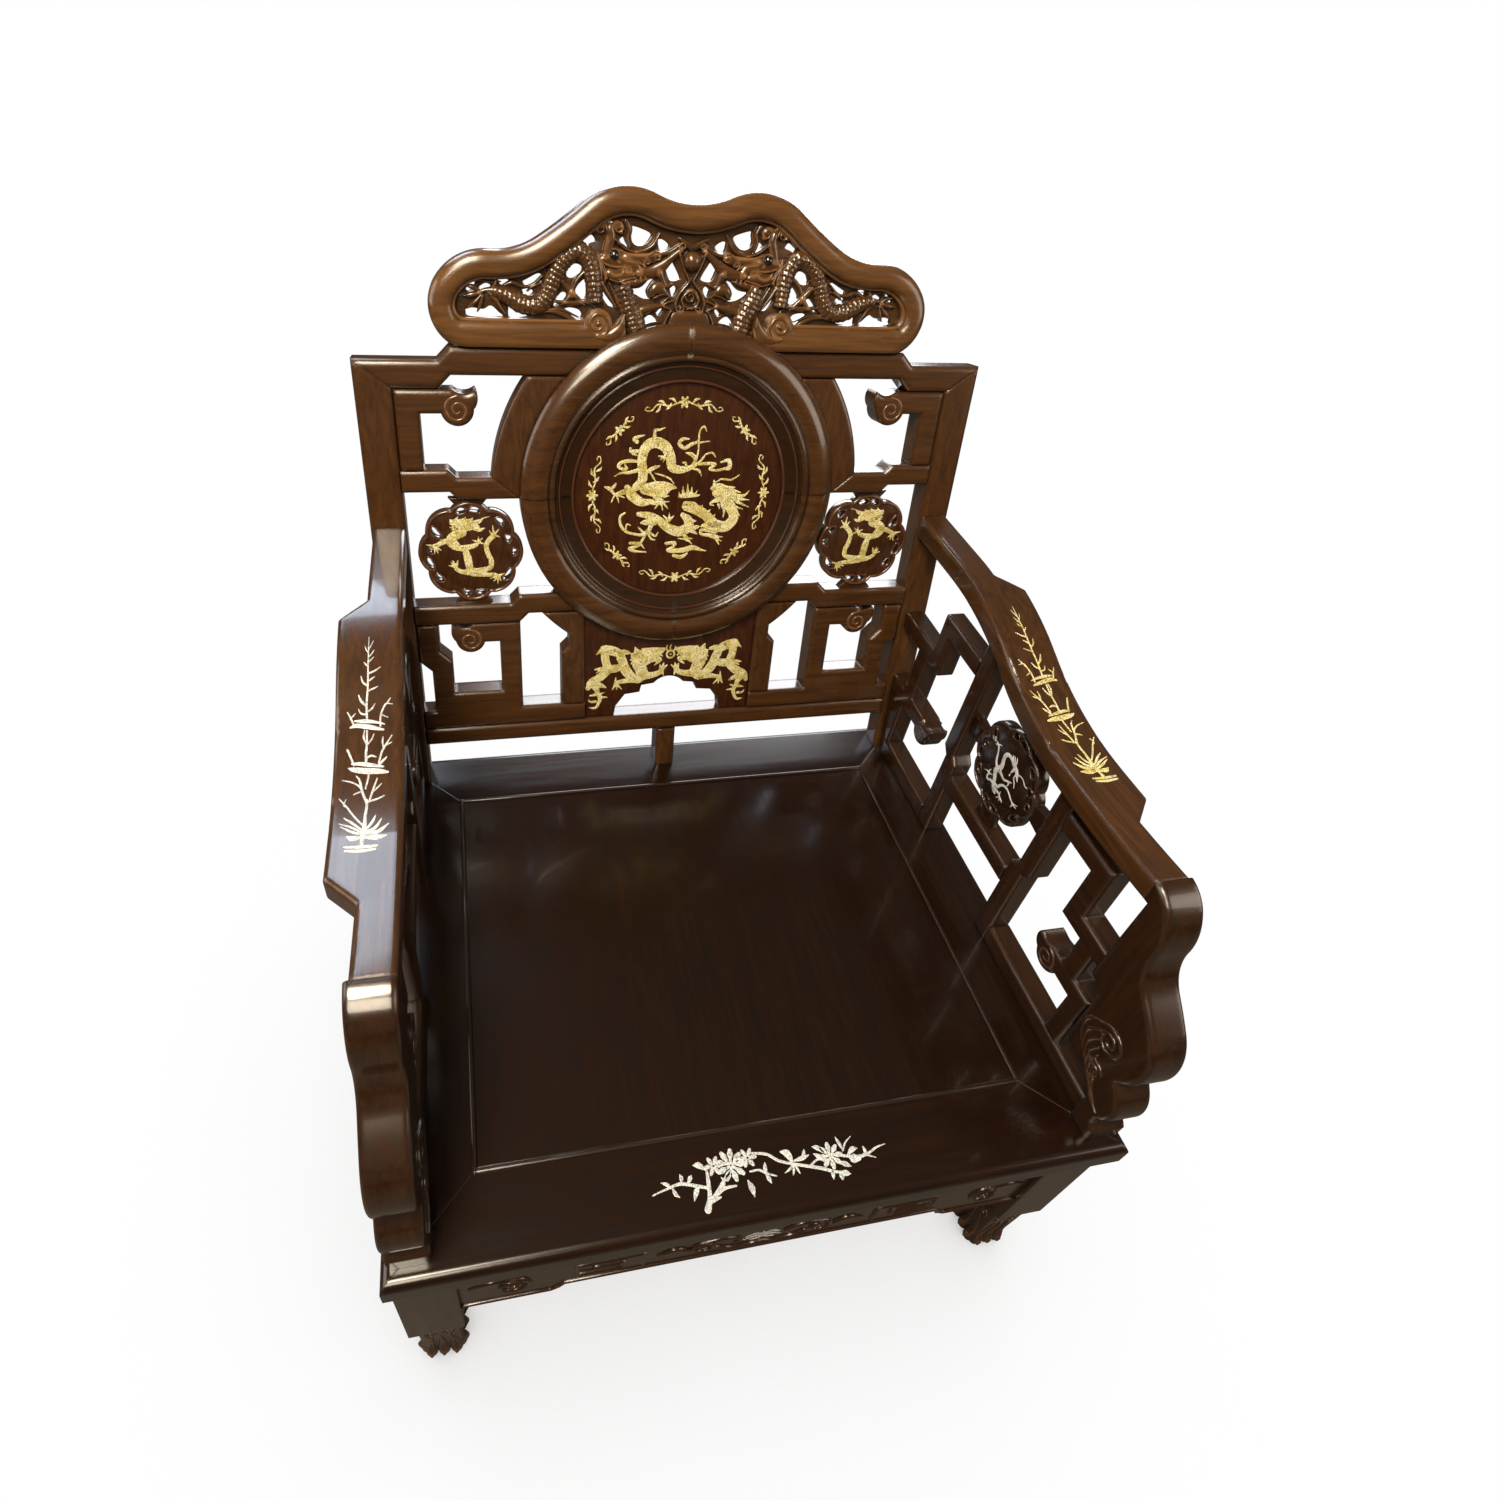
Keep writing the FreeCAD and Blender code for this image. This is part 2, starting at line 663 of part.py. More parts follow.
for side_name, side in SIDES.items():
    # Shoulder band between the top rail and the upper fret rail.
    mitre_outer = (ring_x(upper_inner_top, band_radius), upper_inner_top)
    mitre_inner = (ring_x(upper_under, size.ring_radius), upper_under)
    top_outer = (ring_x(raised_under, band_radius), raised_under)
    top_inner = (ring_x(raised_under, size.ring_radius), raised_under)
    shoulder = outline(*turned(
        side,
        top_inner,
        top_outer,
        ring_arc(top_outer, mitre_outer, band_radius),
        mitre_inner,
        ring_arc(mitre_inner, top_inner, size.ring_radius),
    ))
    cushioned(f"shoulder_{side_name}", shoulder, (0, 2, 3))

    # Upper fret rail, stepping down to the mitre with the shoulder.
    step_from = post_inner - 2 * size.fret_width
    step_to = step_from - size.upper_rail_step
    upper_rail = outline(*turned(
        side,
        (post_inner, size.upper_rail_place),
        (post_inner, upper_top),
        (step_from, upper_top),
        (step_to, upper_inner_top),
        mitre_outer,
        mitre_inner,
        (step_to, upper_under),
        (step_from, size.upper_rail_place),
    ))
    cushioned(f"upper_fret_rail_{side_name}", upper_rail, (0, 4))

    # Bracket in the upper corner, its arm ending in a curl.
    curl_x = post_inner - size.curl_reach
    arm_under = rail_under - size.fret_width
    bracket = outline(*turned(
        side,
        (post_inner, upper_top),
        (bracket_x, upper_top),
        (bracket_x, arm_under),
        *hook_end(curl_x, arm_under, rail_under, -1),
        (post_inner, rail_under),
    ))
    cushioned(f"bracket_{side_name}", bracket, (0,))

    # Lower fret rail, stepping up to the ring.
    rail_end = (ring_x(lower_inner_top, size.ring_radius), lower_inner_top)
    rail_heel = (ring_x(lower_inner_under, size.ring_radius), lower_inner_under)
    lower_step = size.fret_inner_place + size.lower_fret_rail_step
    fret_rail = outline(*turned(
        side,
        (post_inner, lower_under),
        (size.fret_inner_place, lower_under),
        (size.fret_inner_place - size.lower_fret_rail_step, lower_inner_under),
        rail_heel,
        ring_arc(rail_heel, rail_end, size.ring_radius),
        (size.fret_inner_place, lower_inner_top),
        (lower_step, lower_rail_top),
        (post_inner, lower_rail_top),
    ))
    cushioned(f"lower_fret_rail_{side_name}", fret_rail, (3, 7))

    # Square fret on its foot rail, with a jogged outer bar and a hook turning inward.
    foot_top = lower_top + size.fret_width
    square_top = foot_top + size.fret_width
    jog_outer = post_inner - size.fret_jog
    hook_under = lower_under - size.fret_width
    inner_bar = size.fret_inner_place + size.fret_width
    square = outline(*turned(
        side,
        (post_inner, lower_under),
        (post_inner, size.fret_jog_place),
        (jog_outer, size.fret_jog_place - size.fret_jog),
        (jog_outer, foot_top),
        (post_inner, foot_top),
        (post_inner, lower_top),
        (half_panel, lower_top),
        (half_panel, foot_top),
        (size.fret_inner_place, foot_top),
        (size.fret_inner_place, lower_under),
        *backward(hook_end(size.hook_curl_place, hook_under, lower_under, 1)),
        (inner_bar, hook_under),
        (inner_bar, square_top),
        (jog_outer - size.fret_width, square_top),
        (jog_outer - size.fret_width, size.fret_jog_place),
        (bracket_x, size.fret_jog_place + size.fret_jog),
        (bracket_x, lower_under),
    ))
    cushioned(f"square_fret_{side_name}", square, (4, 6, 9, 10, 11, 19))

    # Stile beside the panel, spreading into a band under the ring.
    stile_outer = half_panel + size.stile_width
    stile_upper = stile_outer - size.stile_jog
    half_jog = size.stile_jog / 2
    band_low = (stile_upper, size.roundel_place - ring_level(stile_upper, band_radius))
    band_high = (ring_x(lower_inner_under, band_radius), lower_inner_under)
    ring_high = (ring_x(lower_inner_under, size.ring_radius), lower_inner_under)
    ring_low = (half_panel, size.roundel_place - ring_level(half_panel, size.ring_radius))
    stile = outline(*turned(
        side,
        (half_panel, foot_top),
        (stile_outer, foot_top),
        (stile_outer, size.stile_jog_place - half_jog),
        (stile_upper, size.stile_jog_place + half_jog),
        band_low,
        ring_arc(band_low, band_high, band_radius),
        ring_high,
        ring_arc(ring_high, ring_low, size.ring_radius),
    ))
    cushioned(f"panel_stile_{side_name}", stile, (0, 5, 6))

# Panel under the roundel, its lower edge cut to a stepped arch.
PANEL_CUT_SHARES = ((0.96, 0), (0.93, 0.26), (0.77, 0.57), (0.51, 0.61), (0.48, 0.79), (0.26, 0.83))
half_cut = size.panel_cut_width / 2
cut_steps = [
    (across * half_cut, lower_top + up * size.panel_cut_height) for across, up in PANEL_CUT_SHARES
]
crown = (0, lower_top + size.panel_cut_height)
ring_right = (half_panel, size.roundel_place - ring_level(half_panel, size.ring_radius))
ring_left = (-ring_right[0], ring_right[1])
under_panel = outline(
    (half_panel, lower_top),
    ring_right,
    ring_arc(ring_right, ring_left, size.ring_radius),
    (-half_panel, lower_top),
    *turned(-1, *cut_steps),
    (crown, cut_steps[-1]),
    *cut_steps[-2::-1],
)
sawn("under_panel", under_panel, "panel_thickness", back_frame, level=-size.panel_recess)

# Flower medallions: lobed plates pierced in each lobe, sunk between a rim and a middle plaque.
# Lugs hold each plate clear of the bars around it.
LOBES = 8
CUSP_SHARE = 0.905
RIM_SHARE = 0.93
PIERCE_SHARE = 0.83
PIERCE_TURN_SHARE = 0.15
PIERCE_WIDTH_SHARE = 0.105
PLAQUE_SHARE = 0.7


def polar(radius, angle):
    """A point round the middle of a medallion, from its top."""
    return (radius * math.sin(angle), radius * math.cos(angle))


def lobed(radius):
    """The outline of a lobed plate: one arc to each lobe, from cusp to cusp."""
    turn = 2 * math.pi / LOBES
    edges = []
    for lobe in range(LOBES):
        first = polar(radius * CUSP_SHARE, (lobe - 1 / 2) * turn)
        last = polar(radius * CUSP_SHARE, (lobe + 1 / 2) * turn)
        tip = polar(radius, lobe * turn)
        edges.append(Part.Arc(Vector(*first, 0), Vector(*tip, 0), Vector(*last, 0)))
    return edges


def band(first, way, last, width, thickness):
    """A curved strap of even width with rounded ends."""
    circle = Part.Circle(Vector(*first, 0), Vector(*way, 0), Vector(*last, 0))
    centre = circle.Center

    def shifted(point, offset):
        ray = Vector(*point, 0) - centre
        return centre + ray * ((circle.Radius + offset) / circle.Radius)

    half = width / 2
    outer = [shifted(point, half) for point in (first, way, last)]
    inner = [shifted(point, -half) for point in (last, way, first)]
    edges = [
        Part.Arc(*outer),
        Part.LineSegment(outer[2], inner[0]),
        Part.Arc(*inner),
        Part.LineSegment(inner[2], outer[0]),
    ]
    strap = prism(edges, thickness)
    ends = [Part.makeCylinder(half, thickness, Vector(*point, 0)) for point in (first, last)]
    return strap.fuse(ends)

def medallion(label, radius, frame, lugs):
    """A lobed plate, face at the local origin, with lugs that reach the bars around it."""
    shape = prism(lobed(radius), -size.medallion_thickness)
    field = prism(lobed(radius * RIM_SHARE), -size.medallion_sink)
    plaque = prism(lobed(radius * PLAQUE_SHARE), -size.medallion_sink)
    shape = shape.cut(field.cut(plaque))
    root = radius * RIM_SHARE
    for reach_x, reach_y in lugs:
        lug = Part.makeBox(
            size.lug_width,
            math.hypot(reach_x, reach_y) - root,
            size.medallion_thickness,
            Vector(-size.lug_width / 2, root, -size.medallion_thickness),
        )
        lug.rotate(Vector(), Vector(0, 0, 1), math.degrees(math.atan2(-reach_x, reach_y)))
        shape = shape.fuse(lug)
    for lobe in range(LOBES):
        places = [
            polar(radius * PIERCE_SHARE, (lobe + share) * 2 * math.pi / LOBES)
            for share in (-PIERCE_TURN_SHARE, 0, PIERCE_TURN_SHARE)
        ]
        slot = band(*places, radius * PIERCE_WIDTH_SHARE, size.medallion_thickness)
        slot.translate(Vector(0, 0, -size.medallion_thickness))
        shape = shape.cut(slot)
    solid(label, shape.removeSplitter(), frame)


ring_side = math.sqrt(size.ring_radius**2 - (size.roundel_place - medallion_level)**2)
medallion_x = (post_inner + ring_side) / 2
for side_name, side in SIDES.items():
    place = Placement(Vector(side * medallion_x, medallion_level, -size.medallion_recess), Rotation())
    medallion(
        f"medallion_{side_name}",
        medallion_radius - size.medallion_clear,
        back_frame.multiply(place),
        ((0, medallion_radius), (0, -medallion_radius)),
    )

# Crest: a cloud-shaped border band that stands on the top rails and over the ring.
# Its outline runs from the middle valley over a peak, a shoulder and the end lobe.
CREST_SHARES = [
    (0, 0.898),
    (0.143, 0.949),
    (0.423, 0.879),
    (0.591, 0.669),
    (0.771, 0.586),
    (0.975, 0.408),
    (0.925, 0),
]


def crest_point(shares):
    """A point of the crest from its shares of half-width and height."""
    return (shares[0] * size.crest_half_width, raised_top + shares[1] * size.crest_height)


def flowing(points, heading):
    """Steps through points by arcs that each leave in the direction the last one ended."""
    steps = [points[0]]
    for first, last in zip(points, points[1:]):
        chord = Vector(*last, 0) - Vector(*first, 0)
        along = Vector(chord).normalize()
        square = Vector(-along.y, along.x, 0)
        bend = math.atan2(heading.dot(square), heading.dot(along))
        way = Vector(*first, 0) + chord / 2 + square * (chord.Length / 2 * math.tan(bend / 2))
        steps.append(((way.x, way.y), last))
        heading = along * (2 * heading.dot(along)) - heading
    return steps


crest_half = flowing([crest_point(shares) for shares in CREST_SHARES], Vector(1, 0, 0))
crest_left = backward(turned(-1, *crest_half))
crest_edges = outline(*crest_half, *crest_left)
crest_wire = Part.Wire([edge.toShape() for edge in crest_edges])
crest_board = prism(crest_edges, -size.crest_thickness, size.crest_proud)
front_edges = [
    edge for edge in crest_board.Edges
    if abs(edge.BoundBox.ZMin - size.crest_proud) < CLOSE and edge.BoundBox.ZLength < CLOSE
    and edge.BoundBox.YMin > raised_top - CLOSE and edge.BoundBox.YLength > CLOSE
]
crest_board = crest_board.makeFillet(size.crest_round, front_edges)
inner_wire = crest_wire.makeOffset2D(-size.crest_border)
opening = Part.Face(inner_wire).extrude(Vector(0, 0, size.crest_thickness + 2 * size.overrun))
opening.translate(Vector(0, 0, -size.crest_thickness - size.overrun))
ring_hole = Part.makeCylinder(
    size.ring_radius,
    size.crest_thickness + 2 * size.overrun,
    Vector(0, size.roundel_place, -size.crest_thickness - size.overrun),
)
crest_frame = crest_board.cut(opening)
inner_edges = [
    edge for edge in crest_frame.Edges
    if abs(edge.BoundBox.ZMin - size.crest_proud) < CLOSE and edge.BoundBox.ZLength < CLOSE
    and inner_wire.distToShape(Part.Vertex(edge.CenterOfMass.x, edge.CenterOfMass.y, 0))[0] < size.crest_round
    and edge.BoundBox.YMin > raised_top + size.crest_border - NEAR
]
crest_frame = crest_frame.makeFillet(size.crest_inner_round, inner_edges)
trim = size.crest_scroll_place - 2 * size.crest_scroll
crest_frame = crest_frame.cut(Part.makeBox(
    2 * trim,
    size.crest_border + size.overrun,
    size.crest_thickness + 2 * size.overrun,
    Vector(-trim, raised_top - size.overrun, -size.crest_thickness - size.overrun),
))
for side in SIDES.values():
    scroll = Part.makeCylinder(
        size.crest_scroll,
        size.crest_thickness,
        Vector(side * size.crest_scroll_place, raised_top + size.crest_border, -crest_rear),
    )
    crest_frame = crest_frame.fuse(scroll)
crest_frame = crest_frame.cut(ring_hole).removeSplitter()
solid("crest_frame", crest_frame, back_frame)

# Pierced carving inside the crest: two dragons facing a pearl on its cloud stem.
# Each row is an arc of a dragon's body or limb, in shares of the crest's half-width and height.
PEARL_SHARES = (0, 0.46)
DRAGON_SHARES = [
    ((0.93, 0.27), (0.83, 0.38), (0.74, 0.29)),
    ((0.74, 0.29), (0.66, 0.21), (0.58, 0.32)),
    ((0.58, 0.32), (0.51, 0.56), (0.4, 0.6)),
    ((0.4, 0.6), (0.33, 0.46), (0.4, 0.3)),
    ((0.4, 0.3), (0.36, 0.16), (0.25, 0.2)),
    ((0.4, 0.6), (0.3, 0.72), (0.17, 0.56)),
    ((0.17, 0.56), (0.1, 0.5), PEARL_SHARES),
    ((0.4, 0.6), (0.42, 0.7), (0.36, 0.82)),
    ((0.74, 0.29), (0.7, 0.36), (0.72, 0.5)),
    ((0.58, 0.32), (0.5, 0.25), (0.48, 0.12)),
]

straps = []
for side in SIDES.values():
    for row in DRAGON_SHARES:
        first, way, last = turned(side, *(crest_point(point) for point in row))
        straps.append(band(first, way, last, size.dragon_width, size.carving_thickness))
pearl = Vector(*crest_point(PEARL_SHARES), 0)
straps.append(Part.makeCylinder(size.pearl_radius, size.carving_thickness, pearl))
straps.append(Part.makeBox(
    size.dragon_width,
    size.crest_height,
    size.carving_thickness,
    Vector(-size.dragon_width / 2, raised_top, 0),
))
carving = straps[0].fuse(straps[1:])
carving.translate(Vector(0, 0, size.crest_proud - size.carving_recess - size.carving_thickness))
carving = carving.common(opening).cut(ring_hole).cut(crest_frame).removeSplitter()
solid("crest_dragons", carving, back_frame)

# Arms: an armrest on a scrolled front post, with frets and a medallion below it.
rest_drop = size.armrest_thickness
level_place = back_setback - size.armrest_level
s_middle = (level_place + size.armrest_low_place) / 2
s_height = (size.armrest_rear_height + size.armrest_low_height) / 2


def level_arc(level_at, other, place):
    """Height at a place on the arc that is level at one point and ends at another."""
    run = other[0] - level_at[0]
    rise = other[1] - level_at[1]
    radius = (run ** 2 + rise ** 2) / (2 * abs(rise))
    drop = radius - math.sqrt(radius ** 2 - (place - level_at[0]) ** 2)
    return level_at[1] + math.copysign(drop, rise)


level_end = (level_place, size.armrest_rear_height)
s_point = (s_middle, s_height)
low_point = (size.armrest_low_place, size.armrest_low_height)
joint_point = (size.armrest_joint, size.armrest_front_height)


def rest_top(place):
    """Height of the armrest's top at a place along the arm."""
    if place >= level_end[0]:
        return size.armrest_rear_height
    if place >= s_middle:
        return level_arc(level_end, s_point, place)
    if place >= low_point[0]:
        return level_arc(low_point, s_point, place)
    return level_arc(low_point, joint_point, place)


def post_face(height):
    """Place of the back posts' front face at a height above the seat."""
    return back_setback + height * math.tan(lean)


def rest_curve(first, last, drop):
    """An arc step along the armrest's top or underside."""
    halfway = (first + last) / 2
    return ((halfway, rest_top(halfway) - drop), (last, rest_top(last) - drop))


rear_top = size.armrest_rear_height
rest_side = outline(
    (size.armrest_joint, size.armrest_front_height - rest_drop),
    rest_curve(size.armrest_joint, size.armrest_low_place, rest_drop),
    rest_curve(size.armrest_low_place, s_middle, rest_drop),
    rest_curve(s_middle, level_place, rest_drop),
    (post_face(rear_top - rest_drop), rear_top - rest_drop),
    (post_face(rear_top), rear_top),
    (level_place, rear_top),
    rest_curve(level_place, s_middle, 0),
    rest_curve(s_middle, size.armrest_low_place, 0),
    rest_curve(size.armrest_low_place, size.armrest_joint, 0),
)
rest_end = post_face(rear_top - rest_drop)
rest_long = post_face(rear_top) + size.overrun
rear_shoulder = back_setback - size.shoulder_rear
rest_plan = outline(
    (0, 0),
    (rest_long, 0),
    (rest_long, size.armrest_narrow),
    (rear_shoulder, size.armrest_narrow),
    (rear_shoulder - size.shoulder_slope, size.armrest_wide),
    (size.shoulder_front + size.shoulder_slope, size.armrest_wide),
    (size.shoulder_front, size.armrest_narrow),
    (0, size.armrest_narrow),
)

# Front post outline in shares of its reach and height: plinth, ball, scroll, then a flowing neck.
POST_FOOT_SHARES = [
    (0, 0),
    (0, 0.06),
    (0.055, 0.08),
    (0.055, 0.115),
    ((-0.02, 0.2), (0.075, 0.285)),
]
POST_SCROLL_SHARES = ((0.15, 0.315), (0.03, 0.45), (0.2, 0.585))
POST_NECK_SHARES = ((0.2, 0.585), (0.44, 0.66), (0.62, 0.8), (0.76, 0.95), (1, 1))
BLOCK_TOP_SHARES = (0.8, 0.48)
BLOCK_LOW_SHARES = (0.78, 0.205)
NECK_REAR_SHARE = 0.97
post_reach = size.armrest_joint - size.front_post_place


def front_point(shares):
    """A point of the front post from its shares."""
    return (
        size.front_post_place + shares[0] * post_reach,
        shares[1] * size.armrest_front_height,
    )


neck_rear = size.front_post_place + NECK_REAR_SHARE * post_reach
foot_rear = size.front_post_place + size.front_post_foot
block_low = front_point(BLOCK_LOW_SHARES)
post_foot = [
    tuple(front_point(point) for point in step) if isinstance(step[0], tuple) else front_point(step)
    for step in POST_FOOT_SHARES
]
scroll = [front_point(point) for point in POST_SCROLL_SHARES]
scroll_ray = Vector(*scroll[2], 0) - Part.Circle(*(Vector(*point, 0) for point in scroll)).Center
neck_heading = Vector(scroll_ray.y, -scroll_ray.x, 0).normalize()
neck = flowing([front_point(point) for point in POST_NECK_SHARES], neck_heading)
POST_JOINTS = (10, 17)
front_post_edges = outline(
    *post_foot,
    scroll[0],
    (scroll[1], scroll[2]),
    *neck[1:],
    (size.armrest_joint, size.armrest_front_height - rest_drop),
    (neck_rear, size.armrest_front_height - rest_drop),
    (neck_rear, size.tie_place),
    front_point(BLOCK_TOP_SHARES),
    block_low,
    (foot_rear, block_low[1]),
    (foot_rear, 0),
)

bar = size.arm_bar
gap_front = size.medallion_gap_front
gap_rear = back_setback - size.medallion_gap_rear
stile_front = gap_front - bar
stile_rear = gap_rear + bar
half_jog = size.arm_stile_jog / 2
jog_low = size.arm_stile_jog_place - half_jog
jog_high = size.arm_stile_jog_place + half_jog
low_front = gap_front + size.arm_stile_jog
low_rear = gap_rear - size.arm_stile_jog
stile_front_edges = outline(
    (low_front - bar, 0),
    (low_front, 0),
    (low_front, jog_low),
    (gap_front, jog_high),
    (gap_front, rest_top(gap_front) - rest_drop),
    rest_curve(gap_front, stile_front, rest_drop),
    (stile_front, jog_high),
    (low_front - bar, jog_low),
)
stile_rear_edges = outline(
    (low_rear, 0),
    (low_rear + bar, 0),
    (low_rear + bar, jog_low),
    (stile_rear, jog_high),
    (stile_rear, rest_top(stile_rear) - rest_drop),
    rest_curve(stile_rear, gap_rear, rest_drop),
    (gap_rear, jog_high),
    (low_rear, jog_low),
)
rail_top = size.medallion_rail_place + bar
medallion_rail_edges = outline(
    (low_front, size.medallion_rail_place),
    (low_rear, size.medallion_rail_place),
    (low_rear, rail_top),
    (low_front, rail_top),
)
bottom_front_edges = outline((foot_rear, 0), (low_front - bar, 0), (low_front - bar, bar), (foot_rear, bar))
bottom_rear_edges = outline(
    (low_rear + bar, 0),
    (post_face(0), 0),
    (post_face(bar), bar),
    (low_rear + bar, bar),
)
stem = size.stem_front_place
upper_stem = stem + size.stem_jog
hook_top = size.hook_place + bar
tie_top = size.tie_place + bar
riser = size.front_bar_end - bar
front_bar_top = size.armrest_low_height - rest_drop - size.front_bar_gap
front_curl = (upper_stem + size.front_bar_end) / 2 + bar / 2
fret_front_edges = outline(
    (stem, bar),
    (stem, hook_top),
    (upper_stem, hook_top),
    (upper_stem, size.tie_place),
    (neck_rear, size.tie_place),
    (neck_rear, tie_top),
    (riser, tie_top),
    (riser, front_bar_top),
    (stile_front, front_bar_top),
    (stile_front, front_bar_top - bar),
    (size.front_bar_end, front_bar_top - bar),
    (size.front_bar_end, size.tie_place),
    (upper_stem + bar, size.tie_place),
    (upper_stem + bar, hook_top),
    *backward(hook_end(front_curl, size.hook_place, hook_top, 1)),
    (stem + bar, size.hook_place),
    (stem + bar, bar),
)
rear_bar_top = rest_top(stile_rear) - rest_drop - size.rear_bar_gap
rear_under = rear_bar_top - bar
rear_end = back_setback - size.rear_bar_end
rear_drop = back_setback - size.rear_drop_place
rear_tie_top = size.rear_tie_place + bar
rear_hook_top = size.rear_hook_place + bar
rear_root = rear_drop + bar
fret_rear_edges = outline(
    (stile_rear, rear_under),
    (stile_rear, rear_bar_top),
    (rear_end, rear_bar_top),
    (rear_end, rear_tie_top),
    (post_face(rear_tie_top), rear_tie_top),
    (post_face(size.rear_tie_place), size.rear_tie_place),
    (rear_root, size.rear_tie_place),
    (rear_root, rear_hook_top),
    (post_face(rear_hook_top), rear_hook_top),
    (post_face(bar), bar),
    (rear_root - size.arm_stile_jog, bar),
    (rear_root - size.arm_stile_jog, size.rear_hook_place),
    *hook_end(back_setback - size.rear_hook_curl, size.rear_hook_place, rear_hook_top, -1),
    (rear_drop, rear_hook_top),
    (rear_drop, size.rear_tie_place),
    (rear_end - bar, size.rear_tie_place),
    (rear_end - bar, rear_under),
)
gap_middle = (gap_front + gap_rear) / 2
gap_level = rail_top + (rest_top(gap_middle) - rest_drop - rail_top) / 2
lug_reach = (gap_rear - gap_front) / 2
ARM_PLATE_SHARE = 0.75
arm_fret_pieces = {
    "arm_stile_front": (stile_front_edges, (0, 4)),
    "arm_stile_rear": (stile_rear_edges, (0, 4)),
    "arm_medallion_rail": (medallion_rail_edges, (1, 3)),
    "arm_bottom_rail_front": (bottom_front_edges, (0, 1, 3)),
    "arm_bottom_rail_rear": (bottom_rear_edges, (0, 1, 3)),
    "arm_fret_front": (fret_front_edges, (4, 8, 14, 15, 19)),
    "arm_fret_rear": (fret_rear_edges, (0, 4, 8, 9)),
}
for side_name, side in SIDES.items():
    def arm_frame(across):
        """The arm's working frame with its face at a distance from the middle."""
        return Placement(Vector(side * across, front_y, size.seat_height), arm_turn)

    for name, (edges, joints) in arm_fret_pieces.items():
        sawn(
            f"{name}_{side_name}",
            edges,
            "arm_thickness",
            arm_frame(size.arm_inner),
            towards=side,
            edge_round="fret_round",
            joints=joints,
            both=True,
        )
    sawn(
        f"arm_front_post_{side_name}",
        front_post_edges,
        "front_post_thickness",
        arm_frame(size.armrest_inner),
        towards=side,
        edge_round="fret_round",
        joints=POST_JOINTS,
        both=True,
    )
    side_slab = prism(rest_side, size.armrest_wide)
    plan_slab = prism(rest_plan, 2 * size.armrest_rear_height)
    plan_slab.rotate(Vector(), Vector(1, 0, 0), 90)
    plan_slab.translate(Vector(0, 2 * size.armrest_rear_height, 0))
    armrest = side_slab.common(plan_slab)
    if side < 0:
        armrest = armrest.mirror(Vector(), Vector(0, 0, 1))
    armrest = armrest.removeSplitter()
    rounded = []
    for edge in armrest.Edges:
        span = edge.BoundBox
        between = span.XMax > size.armrest_joint + CLOSE and span.XMin < rest_end - CLOSE
        if between and (span.ZLength < CLOSE or span.XLength > size.armrest_round):
            rounded.append(edge)
    armrest = armrest.makeFillet(size.armrest_round, rounded)
    solid(f"armrest_{side_name}", armrest, arm_frame(size.armrest_inner))
    show = size.arm_inner + size.medallion_recess
    if side < 0:
        show += size.medallion_thickness
    place = Placement(Vector(gap_middle, gap_level, size.medallion_thickness), Rotation())
    lugs = ((lug_reach, 0), (-lug_reach, 0), (0, rail_top - gap_level))
    plate = lug_reach * ARM_PLATE_SHARE
    medallion(f"arm_medallion_{side_name}", plate, arm_frame(show).multiply(place), lugs)

doc.recompute()
broken = [item.Label for item in doc.Objects if "Invalid" in item.State or "Error" in item.State]
broken += [label for label, piece in pieces.items() if piece.Shape.isNull() or not piece.Shape.isValid()]
if broken:
    raise RuntimeError(f"these did not build: {broken}")
for label, piece in pieces.items():
    piece.Shape.exportStep(f"parts/{label}.step")
print(len(pieces), "pieces")
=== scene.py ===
import math

import bmesh
import bpy
import numpy as np
from mathutils import Matrix, Vector
from mathutils.bvhtree import BVHTree
from mathutils.geometry import delaunay_2d_cdt


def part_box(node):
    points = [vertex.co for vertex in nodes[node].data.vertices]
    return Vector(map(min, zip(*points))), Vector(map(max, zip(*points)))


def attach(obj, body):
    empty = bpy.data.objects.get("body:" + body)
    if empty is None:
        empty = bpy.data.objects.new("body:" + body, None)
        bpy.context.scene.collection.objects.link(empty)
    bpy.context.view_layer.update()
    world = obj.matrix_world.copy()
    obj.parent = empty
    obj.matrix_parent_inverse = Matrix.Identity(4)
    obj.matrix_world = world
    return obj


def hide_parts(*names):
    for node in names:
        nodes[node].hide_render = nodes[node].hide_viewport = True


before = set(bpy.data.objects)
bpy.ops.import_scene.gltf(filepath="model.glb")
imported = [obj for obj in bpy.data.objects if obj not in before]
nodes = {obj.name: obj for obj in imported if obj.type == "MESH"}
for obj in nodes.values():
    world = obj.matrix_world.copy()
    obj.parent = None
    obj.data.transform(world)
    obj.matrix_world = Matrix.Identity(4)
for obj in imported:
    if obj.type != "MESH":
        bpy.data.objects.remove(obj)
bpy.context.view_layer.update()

# Legs: square posts of dark rosewood on carved claw feet, tenoned up into the seat frame.
# The wood is oiled and lacquered: long dark streaks and fine pores, with its edges painted lighter, part worn and
# part painted highlight, and its hollows painted darker with painted shade.
# Toes, claws and a collar of scrolls are carved on every face of each foot.


def feed(tree, made, inputs):
    """Each input of a node is joined to another node's output, or takes a plain value."""
    for socket, value in inputs.items():
        if isinstance(value, bpy.types.NodeSocket):
            tree.links.new(value, made.inputs[socket])
        else:
            made.inputs[socket].default_value = value
    return made


def node(tree, kind, inputs=None, **settings):
    """A shader node with its settings and its inputs."""
    made = tree.nodes.new(kind)
    for key, value in settings.items():
        setattr(made, key, value)
    return feed(tree, made, inputs or {})


def maths(tree, operation, first, second=0.5):
    """One step of arithmetic on values."""
    return node(tree, "ShaderNodeMath", {0: first, 1: second}, operation=operation).outputs[0]


